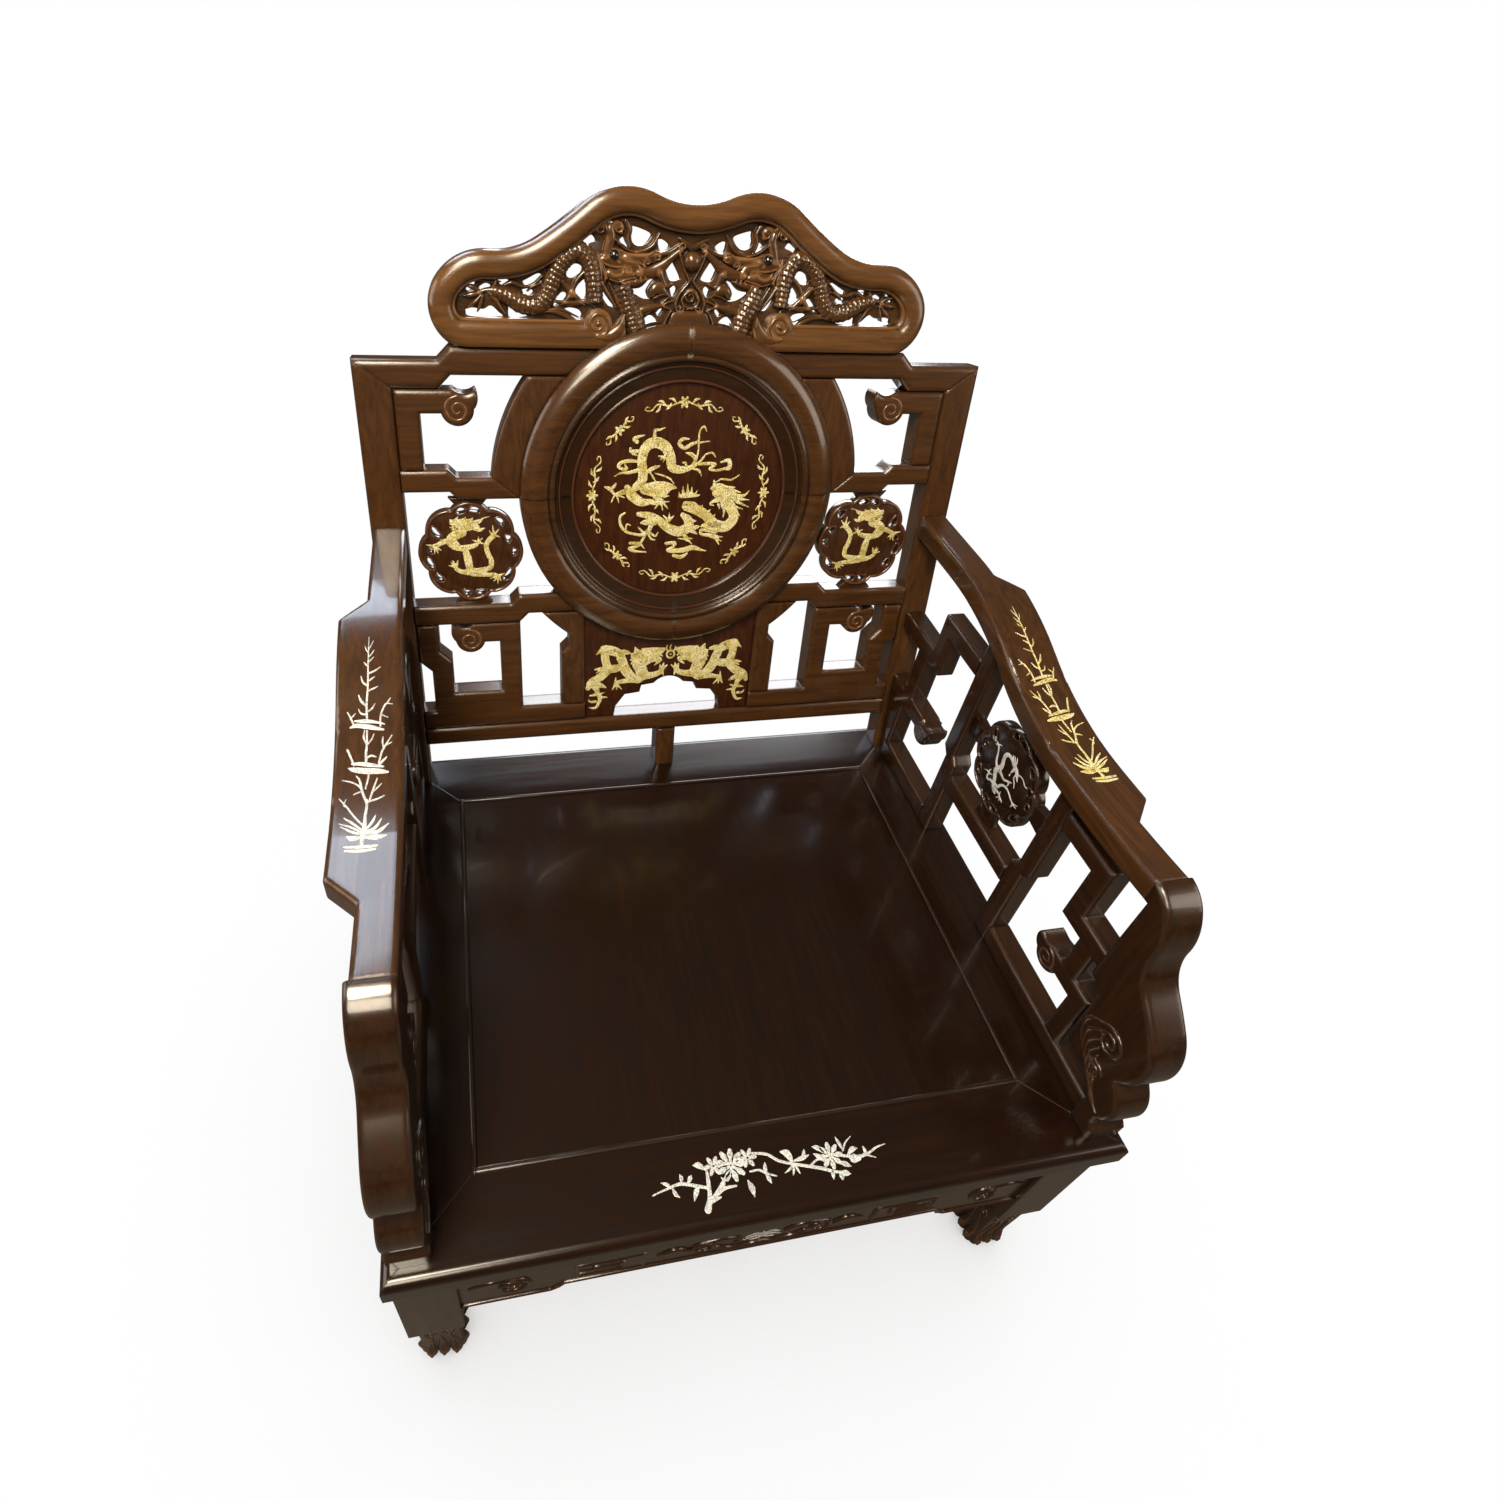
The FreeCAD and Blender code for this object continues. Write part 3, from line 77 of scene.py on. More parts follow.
def ramp(tree, source, stops):
    """A colour ramp over a value; its stops are (place, grey or colour)."""
    made = node(tree, "ShaderNodeValToRGB", {0: source})
    band = made.color_ramp.elements
    while len(band) < len(stops):
        band.new(0.5)
    for stop, (place, shade) in zip(band, stops):
        stop.position = place
        stop.color = (shade, shade, shade, 1) if isinstance(shade, float) else (*shade, 1)
    return made.outputs[0]


def blend(tree, factor, first, second, mode="MIX"):
    """A mix of two colours; each of its three inputs is an output socket or a plain value."""
    mixed = node(tree, "ShaderNodeMix", data_type="RGBA", blend_type=mode)
    return feed(tree, mixed, {0: factor, 6: first, 7: second}).outputs[2]


def group(name, sockets):
    """A node group with named sockets, and the nodes that stand for them inside it."""
    made = bpy.data.node_groups.new(name, "ShaderNodeTree")
    for label, kind, way in sockets:
        made.interface.new_socket(name=label, in_out=way, socket_type=kind)
    return made, node(made, "NodeGroupInput").outputs, node(made, "NodeGroupOutput")


MARK_STRENGTH = 0.18
figure, given, taken = group("rosewood_figure", (
    ("Along Grain", "NodeSocketVector", "INPUT"),
    ("Deep", "NodeSocketColor", "INPUT"),
    ("Warm", "NodeSocketColor", "INPUT"),
    ("Color", "NodeSocketColor", "OUTPUT"),
    ("Roughness", "NodeSocketFloat", "OUTPUT"),
    ("Height", "NodeSocketFloat", "OUTPUT"),
))
broad, lines, pores = (
    node(figure, "ShaderNodeTexNoise", {"Vector": given["Along Grain"], "Scale": scale, "Detail": detail,
                                        "Distortion": distortion}).outputs[0]
    for scale, detail, distortion in ((7.0, 5.0, 0.8), (26.0, 4.0, 0.3), (150.0, 2.0, 0.0)))
color = blend(figure, ramp(figure, broad, [(0.28, 0.0), (0.76, 1.0)]), given["Deep"], given["Warm"])
streak = ramp(figure, lines, [(0.40, 0.35), (0.52, 1.0)])
fleck = ramp(figure, pores, [(0.36, 0.55), (0.48, 1.0)])
for mark in (streak, fleck):
    color = blend(figure, MARK_STRENGTH, color, mark, "MULTIPLY")
gloss = ramp(figure, broad, [(0.3, 0.25), (0.7, 0.18)])
feed(figure, taken, {"Color": color, "Roughness": gloss, "Height": fleck})

HOLLOW_REACH = 0.014
wear_light_and_shade_group, given, taken = group("edge_wear_highlight_and_hollow_shade", (
    ("Reach", "NodeSocketFloat", "INPUT"),
    ("Edge", "NodeSocketFloat", "OUTPUT"),
    ("Hollow", "NodeSocketFloat", "OUTPUT"),
))
# The Edge mask picks out convex edges, painted lighter for worn wood and a painted highlight; the Hollow mask
# picks out recesses, painted darker with painted shade.
edge = node(wear_light_and_shade_group, "ShaderNodeAmbientOcclusion", {"Distance": given["Reach"]}, inside=True, samples=6)
hollow = node(wear_light_and_shade_group, "ShaderNodeAmbientOcclusion", {"Distance": HOLLOW_REACH}, samples=6)
feed(wear_light_and_shade_group, taken, {"Edge": ramp(wear_light_and_shade_group, edge.outputs["AO"], [(0.25, 1.0), (0.62, 0.0)]),
                     "Hollow": ramp(wear_light_and_shade_group, hollow.outputs["AO"], [(0.25, 1.0), (0.85, 0.0)])})

GRAIN_TURNS = {"x": (0, 0, 0), "y": (0, 0, math.pi / 2), "z": (0, math.pi / 2, 0)}
GRAIN_STRETCH = (1.3, 20.0, 20.0)
WEAR_HIGHLIGHT_GAIN, WEAR_HIGHLIGHT_LIFT, HOLLOW_SHADE_WEIGHT, HOLLOW_SHADE_TONE = 1.9, 0.012, 0.7, 0.3


def new_material(name):
    """A material, its node tree and its shader."""
    made = bpy.data.materials.new(name)
    made.use_nodes = True
    return made, made.node_tree, made.node_tree.nodes["Principled BSDF"]


def rosewood(name, grain, deep, warm, wear_and_highlight=0.35, reach=0.004, coat=0.5, soft=0.006):
    """Lacquered rosewood with its grain along one axis of the chair and soft edges; its edges are painted lighter,
    part worn and part painted highlight, and its hollows darker with painted shade.
    """
    made, tree, skin = new_material(name)
    where = node(tree, "ShaderNodeTexCoord").outputs["Object"]
    along = node(tree, "ShaderNodeMapping", {"Vector": where, "Rotation": GRAIN_TURNS[grain]}).outputs[0]
    long_way = node(tree, "ShaderNodeMapping", {"Vector": along, "Scale": GRAIN_STRETCH}).outputs[0]
    cut = node(tree, "ShaderNodeGroup", node_tree=figure)
    feed(tree, cut, {"Along Grain": long_way, "Deep": (*deep, 1), "Warm": (*warm, 1)})
    wear_light_and_shade = node(tree, "ShaderNodeGroup", {"Reach": reach}, node_tree=wear_light_and_shade_group).outputs
    # Edges painted lighter: partly worn wood, partly a painted highlight.
    wear_highlight_color = [min(1.0, WEAR_HIGHLIGHT_GAIN * part + WEAR_HIGHLIGHT_LIFT) for part in warm]
    color = blend(tree, maths(tree, "MULTIPLY", wear_light_and_shade["Edge"], wear_and_highlight), cut.outputs["Color"], (*wear_highlight_color, 1))
    # Hollows painted darker: a painted shade in the recesses.
    hollow_shade = maths(tree, "MULTIPLY", wear_light_and_shade["Hollow"], HOLLOW_SHADE_WEIGHT)
    color = blend(tree, hollow_shade, color, (*(part * HOLLOW_SHADE_TONE for part in deep), 1))
    eased = node(tree, "ShaderNodeBevel", {"Radius": soft}, samples=6).outputs[0]
    relief = node(tree, "ShaderNodeBump", {"Height": cut.outputs["Height"], "Normal": eased,
                                           "Strength": 0.04, "Distance": 0.0003}).outputs[0]
    feed(tree, skin, {"Base Color": color, "Roughness": cut.outputs["Roughness"], "Normal": relief,
                      "Coat Weight": coat, "Coat Roughness": 0.07, "Specular IOR Level": 0.55})
    return made


def dress(names, material):
    """CAD pieces take a material."""
    for name in names:
        nodes[name].data.materials.clear()
        nodes[name].data.materials.append(material)


LEGS = ("leg_front_left", "leg_front_right", "leg_rear_left", "leg_rear_right")
BASE_DEEP, BASE_WARM, BASE_COAT = (0.013, 0.0048, 0.0021), (0.042, 0.0160, 0.0062), 0.25
base_upright = rosewood("base_upright_rosewood", "z", BASE_DEEP, BASE_WARM, coat=BASE_COAT)
dress(LEGS, base_upright)
EDGED = ((-1, -1), (-1, 0.4), (-0.74, 1), (0.74, 1), (1, 0.4), (1, -1))
DOMED = ((-1, -1), (-0.97, 0.25), (-0.8, 0.6), (-0.45, 0.9), (0, 1), (0.45, 0.9), (0.8, 0.6), (0.97, 0.25),
         (1, -1))
THINNEST, CAP_TURNS, TINY = 0.35, (0.55, 1.05, 1.42), 1e-6
HEIGHT_STEP, HEIGHT_STEPS, SLIM_BELOW, SLIM_SHARE = 0.025, 7, 2.2, 0.45
SPIRAL_TAPER, SMOOTH_ANGLE = 0.45, math.radians(40)


def smooth_path(points, parts):
    """A flowing line through points of any number of values, with so many parts between two points."""
    points = np.array(points, float)
    ends = np.vstack([2 * points[0] - points[1], points, 2 * points[-1] - points[-2]])
    line = []
    for index in range(1, len(ends) - 2):
        before, start, end, after = ends[index - 1:index + 3]
        for share in np.arange(parts) / parts:
            bend = (2 * before - 5 * start + 4 * end - after) * share ** 2
            swing = (3 * start - before - 3 * end + after) * share ** 3
            line.append(start + 0.5 * ((end - before) * share + bend + swing))
    return np.array([*line, points[-1]])


def sideways(line):
    """The direction across a path at each of its points."""
    heading = np.gradient(line[:, :2], axis=0)
    heading /= np.maximum(np.linalg.norm(heading, axis=1), TINY)[:, None]
    return np.stack([-heading[:, 1], heading[:, 0]], 1)


def walls(start, rows, count):
    """The faces between rows of points, each row a closed ring."""
    return [(here + index, here + (index + 1) % count, here + count + (index + 1) % count, here + count + index)
            for here in range(start, start + (rows - 1) * count, count) for index in range(count)]


def tube(start, rows, count):
    """The faces of a closed tube: its walls and its two ends."""
    end = start + (rows - 1) * count
    caps = [tuple(reversed(range(start, start + count))), tuple(range(end, end + count))]
    return walls(start, rows, count) + caps


def strokes(drawing, place, low, rise, section=EDGED, parts=5):
    """Solid strokes with their widths along them: from low under the face to rise above it.

    Neighbours rise to slightly different heights, and thin strokes stay lower.
    """
    points, faces = [], []
    for number, stroke in enumerate(drawing):
        line = smooth_path(stroke, parts)
        line[:, 2] = np.maximum(line[:, 2], THINNEST)
        caps = []
        for end, inner in ((line[0], line[1]), (line[-1], line[-2])):
            way = (end[:2] - inner[:2]) / max(TINY, np.linalg.norm(end[:2] - inner[:2]))
            caps.append([[*(end[:2] + way * end[2] / 2 * math.sin(turn)), end[2] * math.cos(turn)]
                         for turn in CAP_TURNS])
        line = np.vstack([caps[0][::-1], line, caps[1]])
        lift = rise * (1 + HEIGHT_STEP * (number % HEIGHT_STEPS))
        slim = SLIM_SHARE + (1 - SLIM_SHARE) * np.minimum(1, line[:, 2] / (SLIM_BELOW * rise))
        faces += tube(len(points), len(line), len(section))
        for at, out, wide, thin in zip(line[:, :2], sideways(line), line[:, 2], slim):
            points += [(*(at + out * share * wide / 2), low if up < 0 else lift * up * thin)
                       for share, up in section]
    return place(*np.array(points).T), faces


def piece(name, shapes, material, stands_for=()):
    """One mesh of several closed shapes, riding on the chair."""
    mesh = bpy.data.meshes.new(name)
    points, faces = [], []
    for shape_points, shape_faces in shapes:
        start = len(points)
        points.extend(tuple(map(float, point)) for point in shape_points)
        faces.extend(tuple(start + index for index in face) for face in shape_faces)
    mesh.from_pydata(points, [], faces)
    shell = bmesh.new()
    shell.from_mesh(mesh)
    bmesh.ops.recalc_face_normals(shell, faces=shell.faces)
    shell.to_mesh(mesh)
    shell.free()
    mesh.polygons.foreach_set("use_smooth", [True] * len(mesh.polygons))
    mesh.set_sharp_from_angle(angle=SMOOTH_ANGLE)
    mesh.materials.append(material)
    made = bpy.data.objects.new(name, mesh)
    bpy.context.scene.collection.objects.link(made)
    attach(made, "root")
    if stands_for:
        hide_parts(*stands_for)


def facing(origin, across, up, out):
    """Where a drawing in millimetres lies: its corner and its three directions."""
    corner, across, up, out = (np.array(way, float) for way in (origin, across, up, out))

    def place(x, y, height):
        lengths = np.outer(x, across) + np.outer(y, up) + np.outer(height, out)
        return corner + lengths / 1000
    return place


def spiral(x, y, outer, inner, turns, start, width):
    """A spiral ridge from its outer end in to the middle."""
    line = []
    for share in np.linspace(0, 1, int(10 * abs(turns)) + 2):
        reach, angle = outer + (inner - outer) * share, start + turns * math.tau * share
        line.append((x + reach * math.cos(angle), y + reach * math.sin(angle), width * (1 - SPIRAL_TAPER * share)))
    return line


RAY_START = 60.0


def draped(name, place):
    """Laid on the real face of a CAD piece, straight in from a flat drawing."""
    mesh = nodes[name].data
    shell = BVHTree.FromPolygons([vertex.co for vertex in mesh.vertices],
                                 [face.vertices for face in mesh.polygons])

    def lay(x, y, height):
        high, flat = place(x, y, np.full(len(x), RAY_START)), place(x, y, np.zeros(len(x)))
        spots = []
        for start, end, lift in zip(high, flat, height):
            inward = (Vector(end) - Vector(start)).normalized()
            hit = shell.ray_cast(Vector(start), inward)[0] or Vector(end)
            spots.append(hit - inward * float(lift) / 1000)
        return np.array([tuple(spot) for spot in spots])
    return lay


TOE_PITCH, PAST_LEG = 13.65, 0.03
carved_base = rosewood("carved_base_rosewood", "z", BASE_DEEP, BASE_WARM,
                       wear_and_highlight=0.7, reach=0.002, coat=BASE_COAT, soft=0.0006)
toes, claws = [], []
for toe in (-TOE_PITCH, 0, TOE_PITCH):
    toes.append([(toe * 0.7, 62, 1.5), (toe * 0.85, 44, 6), (toe, 26, 8.5), (toe, 14, 9), (toe, 6, 7)])
    claws.append([(toe, 13, 5.5), (toe, 7, 4.5), (toe, 2, 1.5)])
collar = [[(-19, 104, 1.5), (-10, 92, 4.5), (0, 87, 5.5), (10, 92, 4.5), (19, 104, 1.5)],
          spiral(-9.5, 75, 7, 1.8, 1.4, 0.5, 3), spiral(9.5, 75, 7, 1.8, -1.4, math.pi - 0.5, 3)]
shapes = []
for leg_name in LEGS:
    low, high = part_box(leg_name)
    for x, y in ((1, 0), (-1, 0), (0, 1), (0, -1)):
        middle = ((low.x + high.x) / 2 + x * PAST_LEG, (low.y + high.y) / 2 + y * PAST_LEG, 0)
        on_foot = draped(leg_name, facing(middle, (-y, x, 0), (0, 0, 1), (x, y, 0)))
        shapes += [strokes(toes, on_foot, -1.5, 1.8, DOMED), strokes(claws, on_foot, -1, 3.4, DOMED),
                   strokes(collar, on_foot, -1, 1.6, DOMED)]
piece("carved_feet", shapes, carved_base)

# Aprons and waist: shaped boards let in between the legs, under a hollow waist moulding.
# Between a raised line along the top and a bead along the lower edge run low key frets and cloud scrolls.
seat_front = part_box("seat_front_rail")[0].y
apron_face = seat_front + 0.017
base_across = rosewood("base_across_rosewood", "x", BASE_DEEP, BASE_WARM, coat=BASE_COAT)
base_deepwise = rosewood("base_deepwise_rosewood", "y", BASE_DEEP, BASE_WARM, coat=BASE_COAT)
dress(("apron_front", "apron_rear", "waist_moulding"), base_across)
dress(("apron_left", "apron_right"), base_deepwise)


def flipped(drawing, way):
    """A drawing as it is, or turned left for right."""
    return [[(way * x, y, width) for x, y, width in stroke] for stroke in drawing]


def pair(drawing):
    """A drawing of the right half, on both sides: the left one first."""
    return flipped(drawing, -1) + flipped(drawing, 1)


def apron_relief(half):
    """The relief on one apron, drawn from its middle, for a board of this half length."""
    deep, fret = half - 98, half - 150
    lower = [(-half + 2, 171), (-deep - 8, 171), (-deep, 177), (-deep + 6, 186), (deep - 6, 186), (deep, 177),
             (deep + 8, 171), (half - 2, 171)]
    key = [(fret - 34, 199), (fret - 34, 233), (fret + 34, 233), (fret + 34, 205), (fret - 14, 205),
           (fret - 14, 220), (fret + 16, 220)]
    relief = [[(x, y, 4) for x, y in ends] for ends in zip(lower, lower[1:])]
    relief.append([(-half + 2, 247, 3), (half - 2, 247, 3)])
    right = [[(x, y, 5) for x, y in ends] for ends in zip(key, key[1:])]
    right += [spiral(half - 52, 209, 19, 4, 1.7, math.pi / 2, 6),
              [(half - 52, 228, 6), (half - 30, 232, 5), (half - 10, 222, 1.5)],
              spiral(62, 213, 15, 3, -1.6, math.pi / 2, 5.5),
              [(62, 228, 5.5), (42, 231, 5), (24, 220, 3), (30, 208, 2)],
              [(48, 207, 4), (34, 197, 5), (12, 196, 4), (0, 201, 3)],
              [(78, 214, 4), (94, 224, 5), (112, 214, 1.5)]]
    return relief + pair(right)


HALF_WIDTH = 310
rear_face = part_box("apron_rear")[1].y
side_low, side_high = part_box("apron_left")
half_depth, side_middle = 500 * (side_high.y - side_low.y), (side_low.y + side_high.y) / 2
for name, half, corner, across, out in (
    ("front", HALF_WIDTH, (0, apron_face, 0), (1, 0, 0), (0, -1, 0)),
    ("rear", HALF_WIDTH, (0, rear_face, 0), (1, 0, 0), (0, 1, 0)),
    ("left", half_depth, (side_low.x, side_middle, 0), (0, 1, 0), (-1, 0, 0)),
    ("right", half_depth, (-side_low.x, side_middle, 0), (0, 1, 0), (1, 0, 0)),
):
    relief = strokes(apron_relief(half), facing(corner, across, (0, 0, 1), out), -1.5, 2.4, DOMED)
    piece("apron_relief_" + name, [relief], carved_base)

# Seat: four mitred rails round a floating panel, its joint hidden by a small raised bead.
# The front rail is inlaid with a peony branch in mother of pearl, and the apron under it with a small bat.
# The seat's dark rosewood is painted darker still: painted shade, for the shade that the back and arms cast on it.
SEAT_DEEP, SEAT_WARM, BEAD_WIDTH = (0.0058, 0.0018, 0.0006), (0.015, 0.0049, 0.0013), 5
seat_across = rosewood("seat_across_rosewood", "x", SEAT_DEEP, SEAT_WARM, coat=0.2, soft=0.0015)
seat_deepwise = rosewood("seat_deepwise_rosewood", "y", SEAT_DEEP, SEAT_WARM, coat=0.2, soft=0.0015)
dress(("seat_front_rail", "seat_rear_rail", "seat_battens"), seat_across)
dress(("seat_left_rail", "seat_right_rail", "seat_panel"), seat_deepwise)
panel_low, panel_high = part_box("seat_panel")
on_seat = facing((0, seat_front, panel_high.z), (1, 0, 0), (0, 1, 0), (0, 0, 1))
near, far = (panel_low.y - seat_front) * 1000, (panel_high.y - seat_front) * 1000
side = panel_high.x * 1000
corners = [(-side, near, BEAD_WIDTH), (side, near, BEAD_WIDTH), (-side, far, BEAD_WIDTH), (side, far, BEAD_WIDTH)]
bead = [[corners[start], corners[end]] for start, end in ((0, 1), (2, 3), (0, 2), (1, 3))]
piece("seat_bead", [strokes(bead, on_seat, -1, 2.0, DOMED)], seat_across)

SHEET_SCALE, CLOUD_SCALE, ENGRAVING_SCALE = 130.0, 240.0, 460.0
SHELL_SUNK, SHELL_PROUD = -0.6, 0.35


def mother_of_pearl(name, tints, lines=0.55):
    """Polished shell: soft patches of several tints under fine engraved lines."""
    made, tree, skin = new_material(name)
    where = node(tree, "ShaderNodeTexCoord").outputs["Object"]
    sheet = node(tree, "ShaderNodeTexVoronoi", {"Vector": where, "Scale": SHEET_SCALE}).outputs["Color"]
    cell = node(tree, "ShaderNodeSeparateColor", {0: sheet}).outputs[0]
    cloud = node(tree, "ShaderNodeTexNoise", {"Vector": where, "Scale": CLOUD_SCALE, "Detail": 3.0}).outputs[0]
    patch = maths(tree, "MULTIPLY", maths(tree, "ADD", cell, cloud), 0.55)
    tint = ramp(tree, patch, [(0.25 + 0.2 * index, shade) for index, shade in enumerate(tints)])
    engraving = node(tree, "ShaderNodeTexVoronoi", {"Vector": where, "Scale": ENGRAVING_SCALE},
                     feature="DISTANCE_TO_EDGE").outputs["Distance"]
    cut = ramp(tree, engraving, [(0.03, 1.0 - lines), (0.15, 1.0)])
    relief = node(tree, "ShaderNodeBump", {"Height": cut, "Strength": 0.25, "Distance": 0.0003}).outputs[0]
    feed(tree, skin, {"Base Color": blend(tree, 1.0, tint, cut, "MULTIPLY"), "Normal": relief,
                      "Roughness": ramp(tree, cloud, [(0.3, 0.22), (0.7, 0.38)]),
                      "Coat Weight": 0.5, "Coat Roughness": 0.08})
    return made


silver_pearl = mother_of_pearl(
    "silver_pearl", ((0.52, 0.54, 0.57), (0.74, 0.75, 0.76), (0.64, 0.71, 0.73), (0.85, 0.85, 0.84)))
golden_pearl = mother_of_pearl(
    "golden_pearl", ((0.58, 0.46, 0.14), (0.86, 0.74, 0.31), (0.93, 0.87, 0.52), (0.75, 0.64, 0.29)), 0.75)


def inlay(name, drawing, place, shell, proud=SHELL_PROUD):
    """Strokes of shell let into a face and a little proud of it."""
    piece(name, [strokes(drawing, place, SHELL_SUNK, proud)], shell)


def petals(x, y, count, inner, outer, width, turn=0.0):
    """A ring of petals drawn as short strokes."""
    ring = []
    for index in range(count):
        angle = turn + index * math.tau / count
        ring.append([(x + reach * math.cos(angle), y + reach * math.sin(angle), share * width)
                     for reach, share in ((inner, 0.5), ((inner + outer) / 2, 1.0), (outer, 0.7))])
    return ring


PEONY_BRANCH = [
    [(-74.2, 16.7, 6.7), (-70, 26.7, 4.3), (-68.3, 40, 3.7), (-67.5, 50, 2.3)],
    [(-71.7, 21.7, 4.3), (-61.7, 30, 3.3), (-51.7, 40, 3), (-45, 45, 2.3)],
    [(-68.3, 24.2, 3.3), (-55, 31.7, 3), (-42.5, 32.5, 2)], [(-70, 22.5, 3.3), (-59.7, 25.3, 2)],
    [(-123.3, 36.7, 1.3), (-110, 40, 2), (-95, 42.5, 3), (-80, 38.3, 3), (-70, 35, 2.7)],
    [(-55, 31.7, 2.7), (-53.3, 38.3, 2), (-55, 41.7, 1)],
    [(-19.2, 58.3, 2.3), (-5, 55, 2.7), (5, 47.5, 2.7), (18.3, 42.5, 2.7), (31.7, 38.3, 3), (45, 34.2, 3.3),
     (55, 30, 3), (63.3, 27.5, 2)], [(-25.8, 42.5, 1.7), (-16.7, 42.5, 2), (-10, 38.3, 2.3), (-1.3, 34.7, 1.3)],
    [(35, 38.3, 2.3), (43.3, 42.5, 2), (51.7, 41.7, 2)],
    [(65, 43.3, 2.3), (75, 40.8, 2.7), (88.3, 38.7, 3), (98.3, 40.8, 2.3), (106.7, 44.2, 2),
     (116.3, 45.7, 0.8)], [(71.7, 46.7, 2), (76.7, 53.3, 1.7), (84.3, 58.3, 0.7)],
    [(91.7, 40, 2.3), (102.3, 35.3, 1)], [(-68.3, 50.8, 1.3), (-74.2, 55.8, 5.7), (-79.7, 56.7, 1)],
    [(-78.3, 38.3, 1.3), (-81.7, 33.3, 5), (-85, 26.3, 1)],
    [(-88.3, 41.7, 1.3), (-85, 45.8, 4.3), (-83.3, 48.3, 0.8)],
    [(-94.2, 43.3, 1.3), (-93.3, 47.5, 4), (-94.2, 50.7, 0.8)],
    [(-105, 40, 1.3), (-108.3, 44.2, 3.3), (-113.3, 46.3, 0.8)],
    [(-103.3, 40, 1.3), (-101.7, 35, 3.7), (-98.3, 31.3, 0.8)],
    [(-10.8, 38.3, 1.7), (-10.3, 43.3, 4), (-9.2, 48, 1)], [(-10.8, 37.5, 1.7), (-9.2, 33.3, 4), (-8, 29.3, 1)],
    [(-30, 35, 1.3), (-28, 28.3, 6), (-27.3, 20.7, 1)], [(18.3, 43.3, 1.7), (15, 52.5, 7.3), (8.7, 55.3, 1)],
    [(20, 45, 1.7), (29.2, 46.3, 4.3), (36, 48, 1)], [(28.3, 45.8, 1.7), (31.7, 50, 3.3), (33, 53.7, 0.8)],
    [(17.5, 41.7, 1.7), (13.3, 38.3, 2.3), (8, 36, 0.8)],
    [(18.3, 40.8, 1.7), (17, 36.7, 2.3), (15.3, 32.7, 0.8)],
    [(20, 40.8, 1.7), (21.3, 36.7, 2.3), (22.3, 33, 0.8)], [(55, 30, 1.7), (54.2, 26.7, 3.7), (53.7, 23, 1)],
    [(61.7, 28.3, 2), (62.5, 24.7, 5), (62, 21.3, 1.3)], [(63.3, 28, 2.3), (67.5, 26.3, 5.7), (71.7, 25, 1)],
    [(65, 36.7, 2), (70, 34.2, 5), (74.7, 31.3, 1)], [(50, 40, 1.7), (45.8, 44.7, 5), (41.3, 48.3, 1)],
    [(51.7, 48.3, 2), (46.7, 53, 4.7), (42, 54.7, 1)], [(71.7, 48.3, 1.7), (70, 54.2, 3.3), (68.3, 59.7, 0.8)],
    [(75, 41.7, 1.7), (81.7, 46.3, 5), (86.7, 46.3, 1)], [(76.7, 40, 3.3), (79.7, 38, 8.7), (85.3, 37, 4.3)],
    [(94.2, 40, 1.7), (93.7, 43.3, 3.3), (93, 47, 0.8)],
]
flowers = [*petals(-43, 51, 9, 6, 13.5, 5.6), *petals(-43, 51, 6, 1.5, 5.5, 3.2, 0.4),
           *petals(-60, 53, 6, 2, 8, 4.2), *petals(-25, 55, 6, 2, 8, 4.2),
           *petals(57.5, 44, 8, 4.5, 11, 5.0), *petals(57.5, 44, 5, 1, 4, 2.6, 0.5)]
inlay("inlay_peony_branch", PEONY_BRANCH + flowers, on_seat, silver_pearl, 0.3)
bat = [[(0, 213, 5), (0, 221, 4.5), (0, 226, 1.5)]]
bat += pair([[(1, 219, 3.5), (9, 224, 5), (18, 219, 2)], [(2, 215, 3), (10, 216, 4.5), (20, 211, 1.5)],
             [(1, 212, 2.5), (7, 208, 3), (13, 208, 1)]])
on_apron = facing((0, apron_face, 0), (1, 0, 0), (0, 0, 1), (0, -1, 0))
inlay("inlay_apron_bat", bat, on_apron, silver_pearl, 0.4)

# Back posts, rails and stiles: the upright frame, leaning back, mitred and tenoned together.
# Rosewood a shade lighter than the base: painted light, for the light that falls on the back.
LEAN = math.radians(12.6)
BACK_DEEP, BACK_WARM = (0.037, 0.0146, 0.0047), (0.078, 0.0322, 0.0098)
back_upright = rosewood("back_upright_rosewood", "z", BACK_DEEP, BACK_WARM)
back_across = rosewood("back_across_rosewood", "x", BACK_DEEP, BACK_WARM)
dress(("back_post_left", "back_post_right", "panel_stile_left", "panel_stile_right", "muntin",
       "shoulder_left", "shoulder_right"), back_upright)
dress(("top_rail_left", "top_rail_right", "upper_fret_rail_left", "upper_fret_rail_right",
       "lower_fret_rail_left", "lower_fret_rail_right", "lower_rail"), back_across)
back_line = (0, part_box("back_post_left")[0].y, panel_high.z)
up_back, out_of_back = (0, math.sin(LEAN), math.cos(LEAN)), (0, -math.cos(LEAN), math.sin(LEAN))


def on_back(x, up, out):
    """The back's own plane: across it, up its slope and out from its face towards the sitter."""
    slope, face = np.array(up_back), np.array(out_of_back)
    corner = np.array(back_line) + (up * slope + out * face) / 1000 + np.array((x / 1000, 0, 0))
    return facing(corner, (1, 0, 0), slope, face)


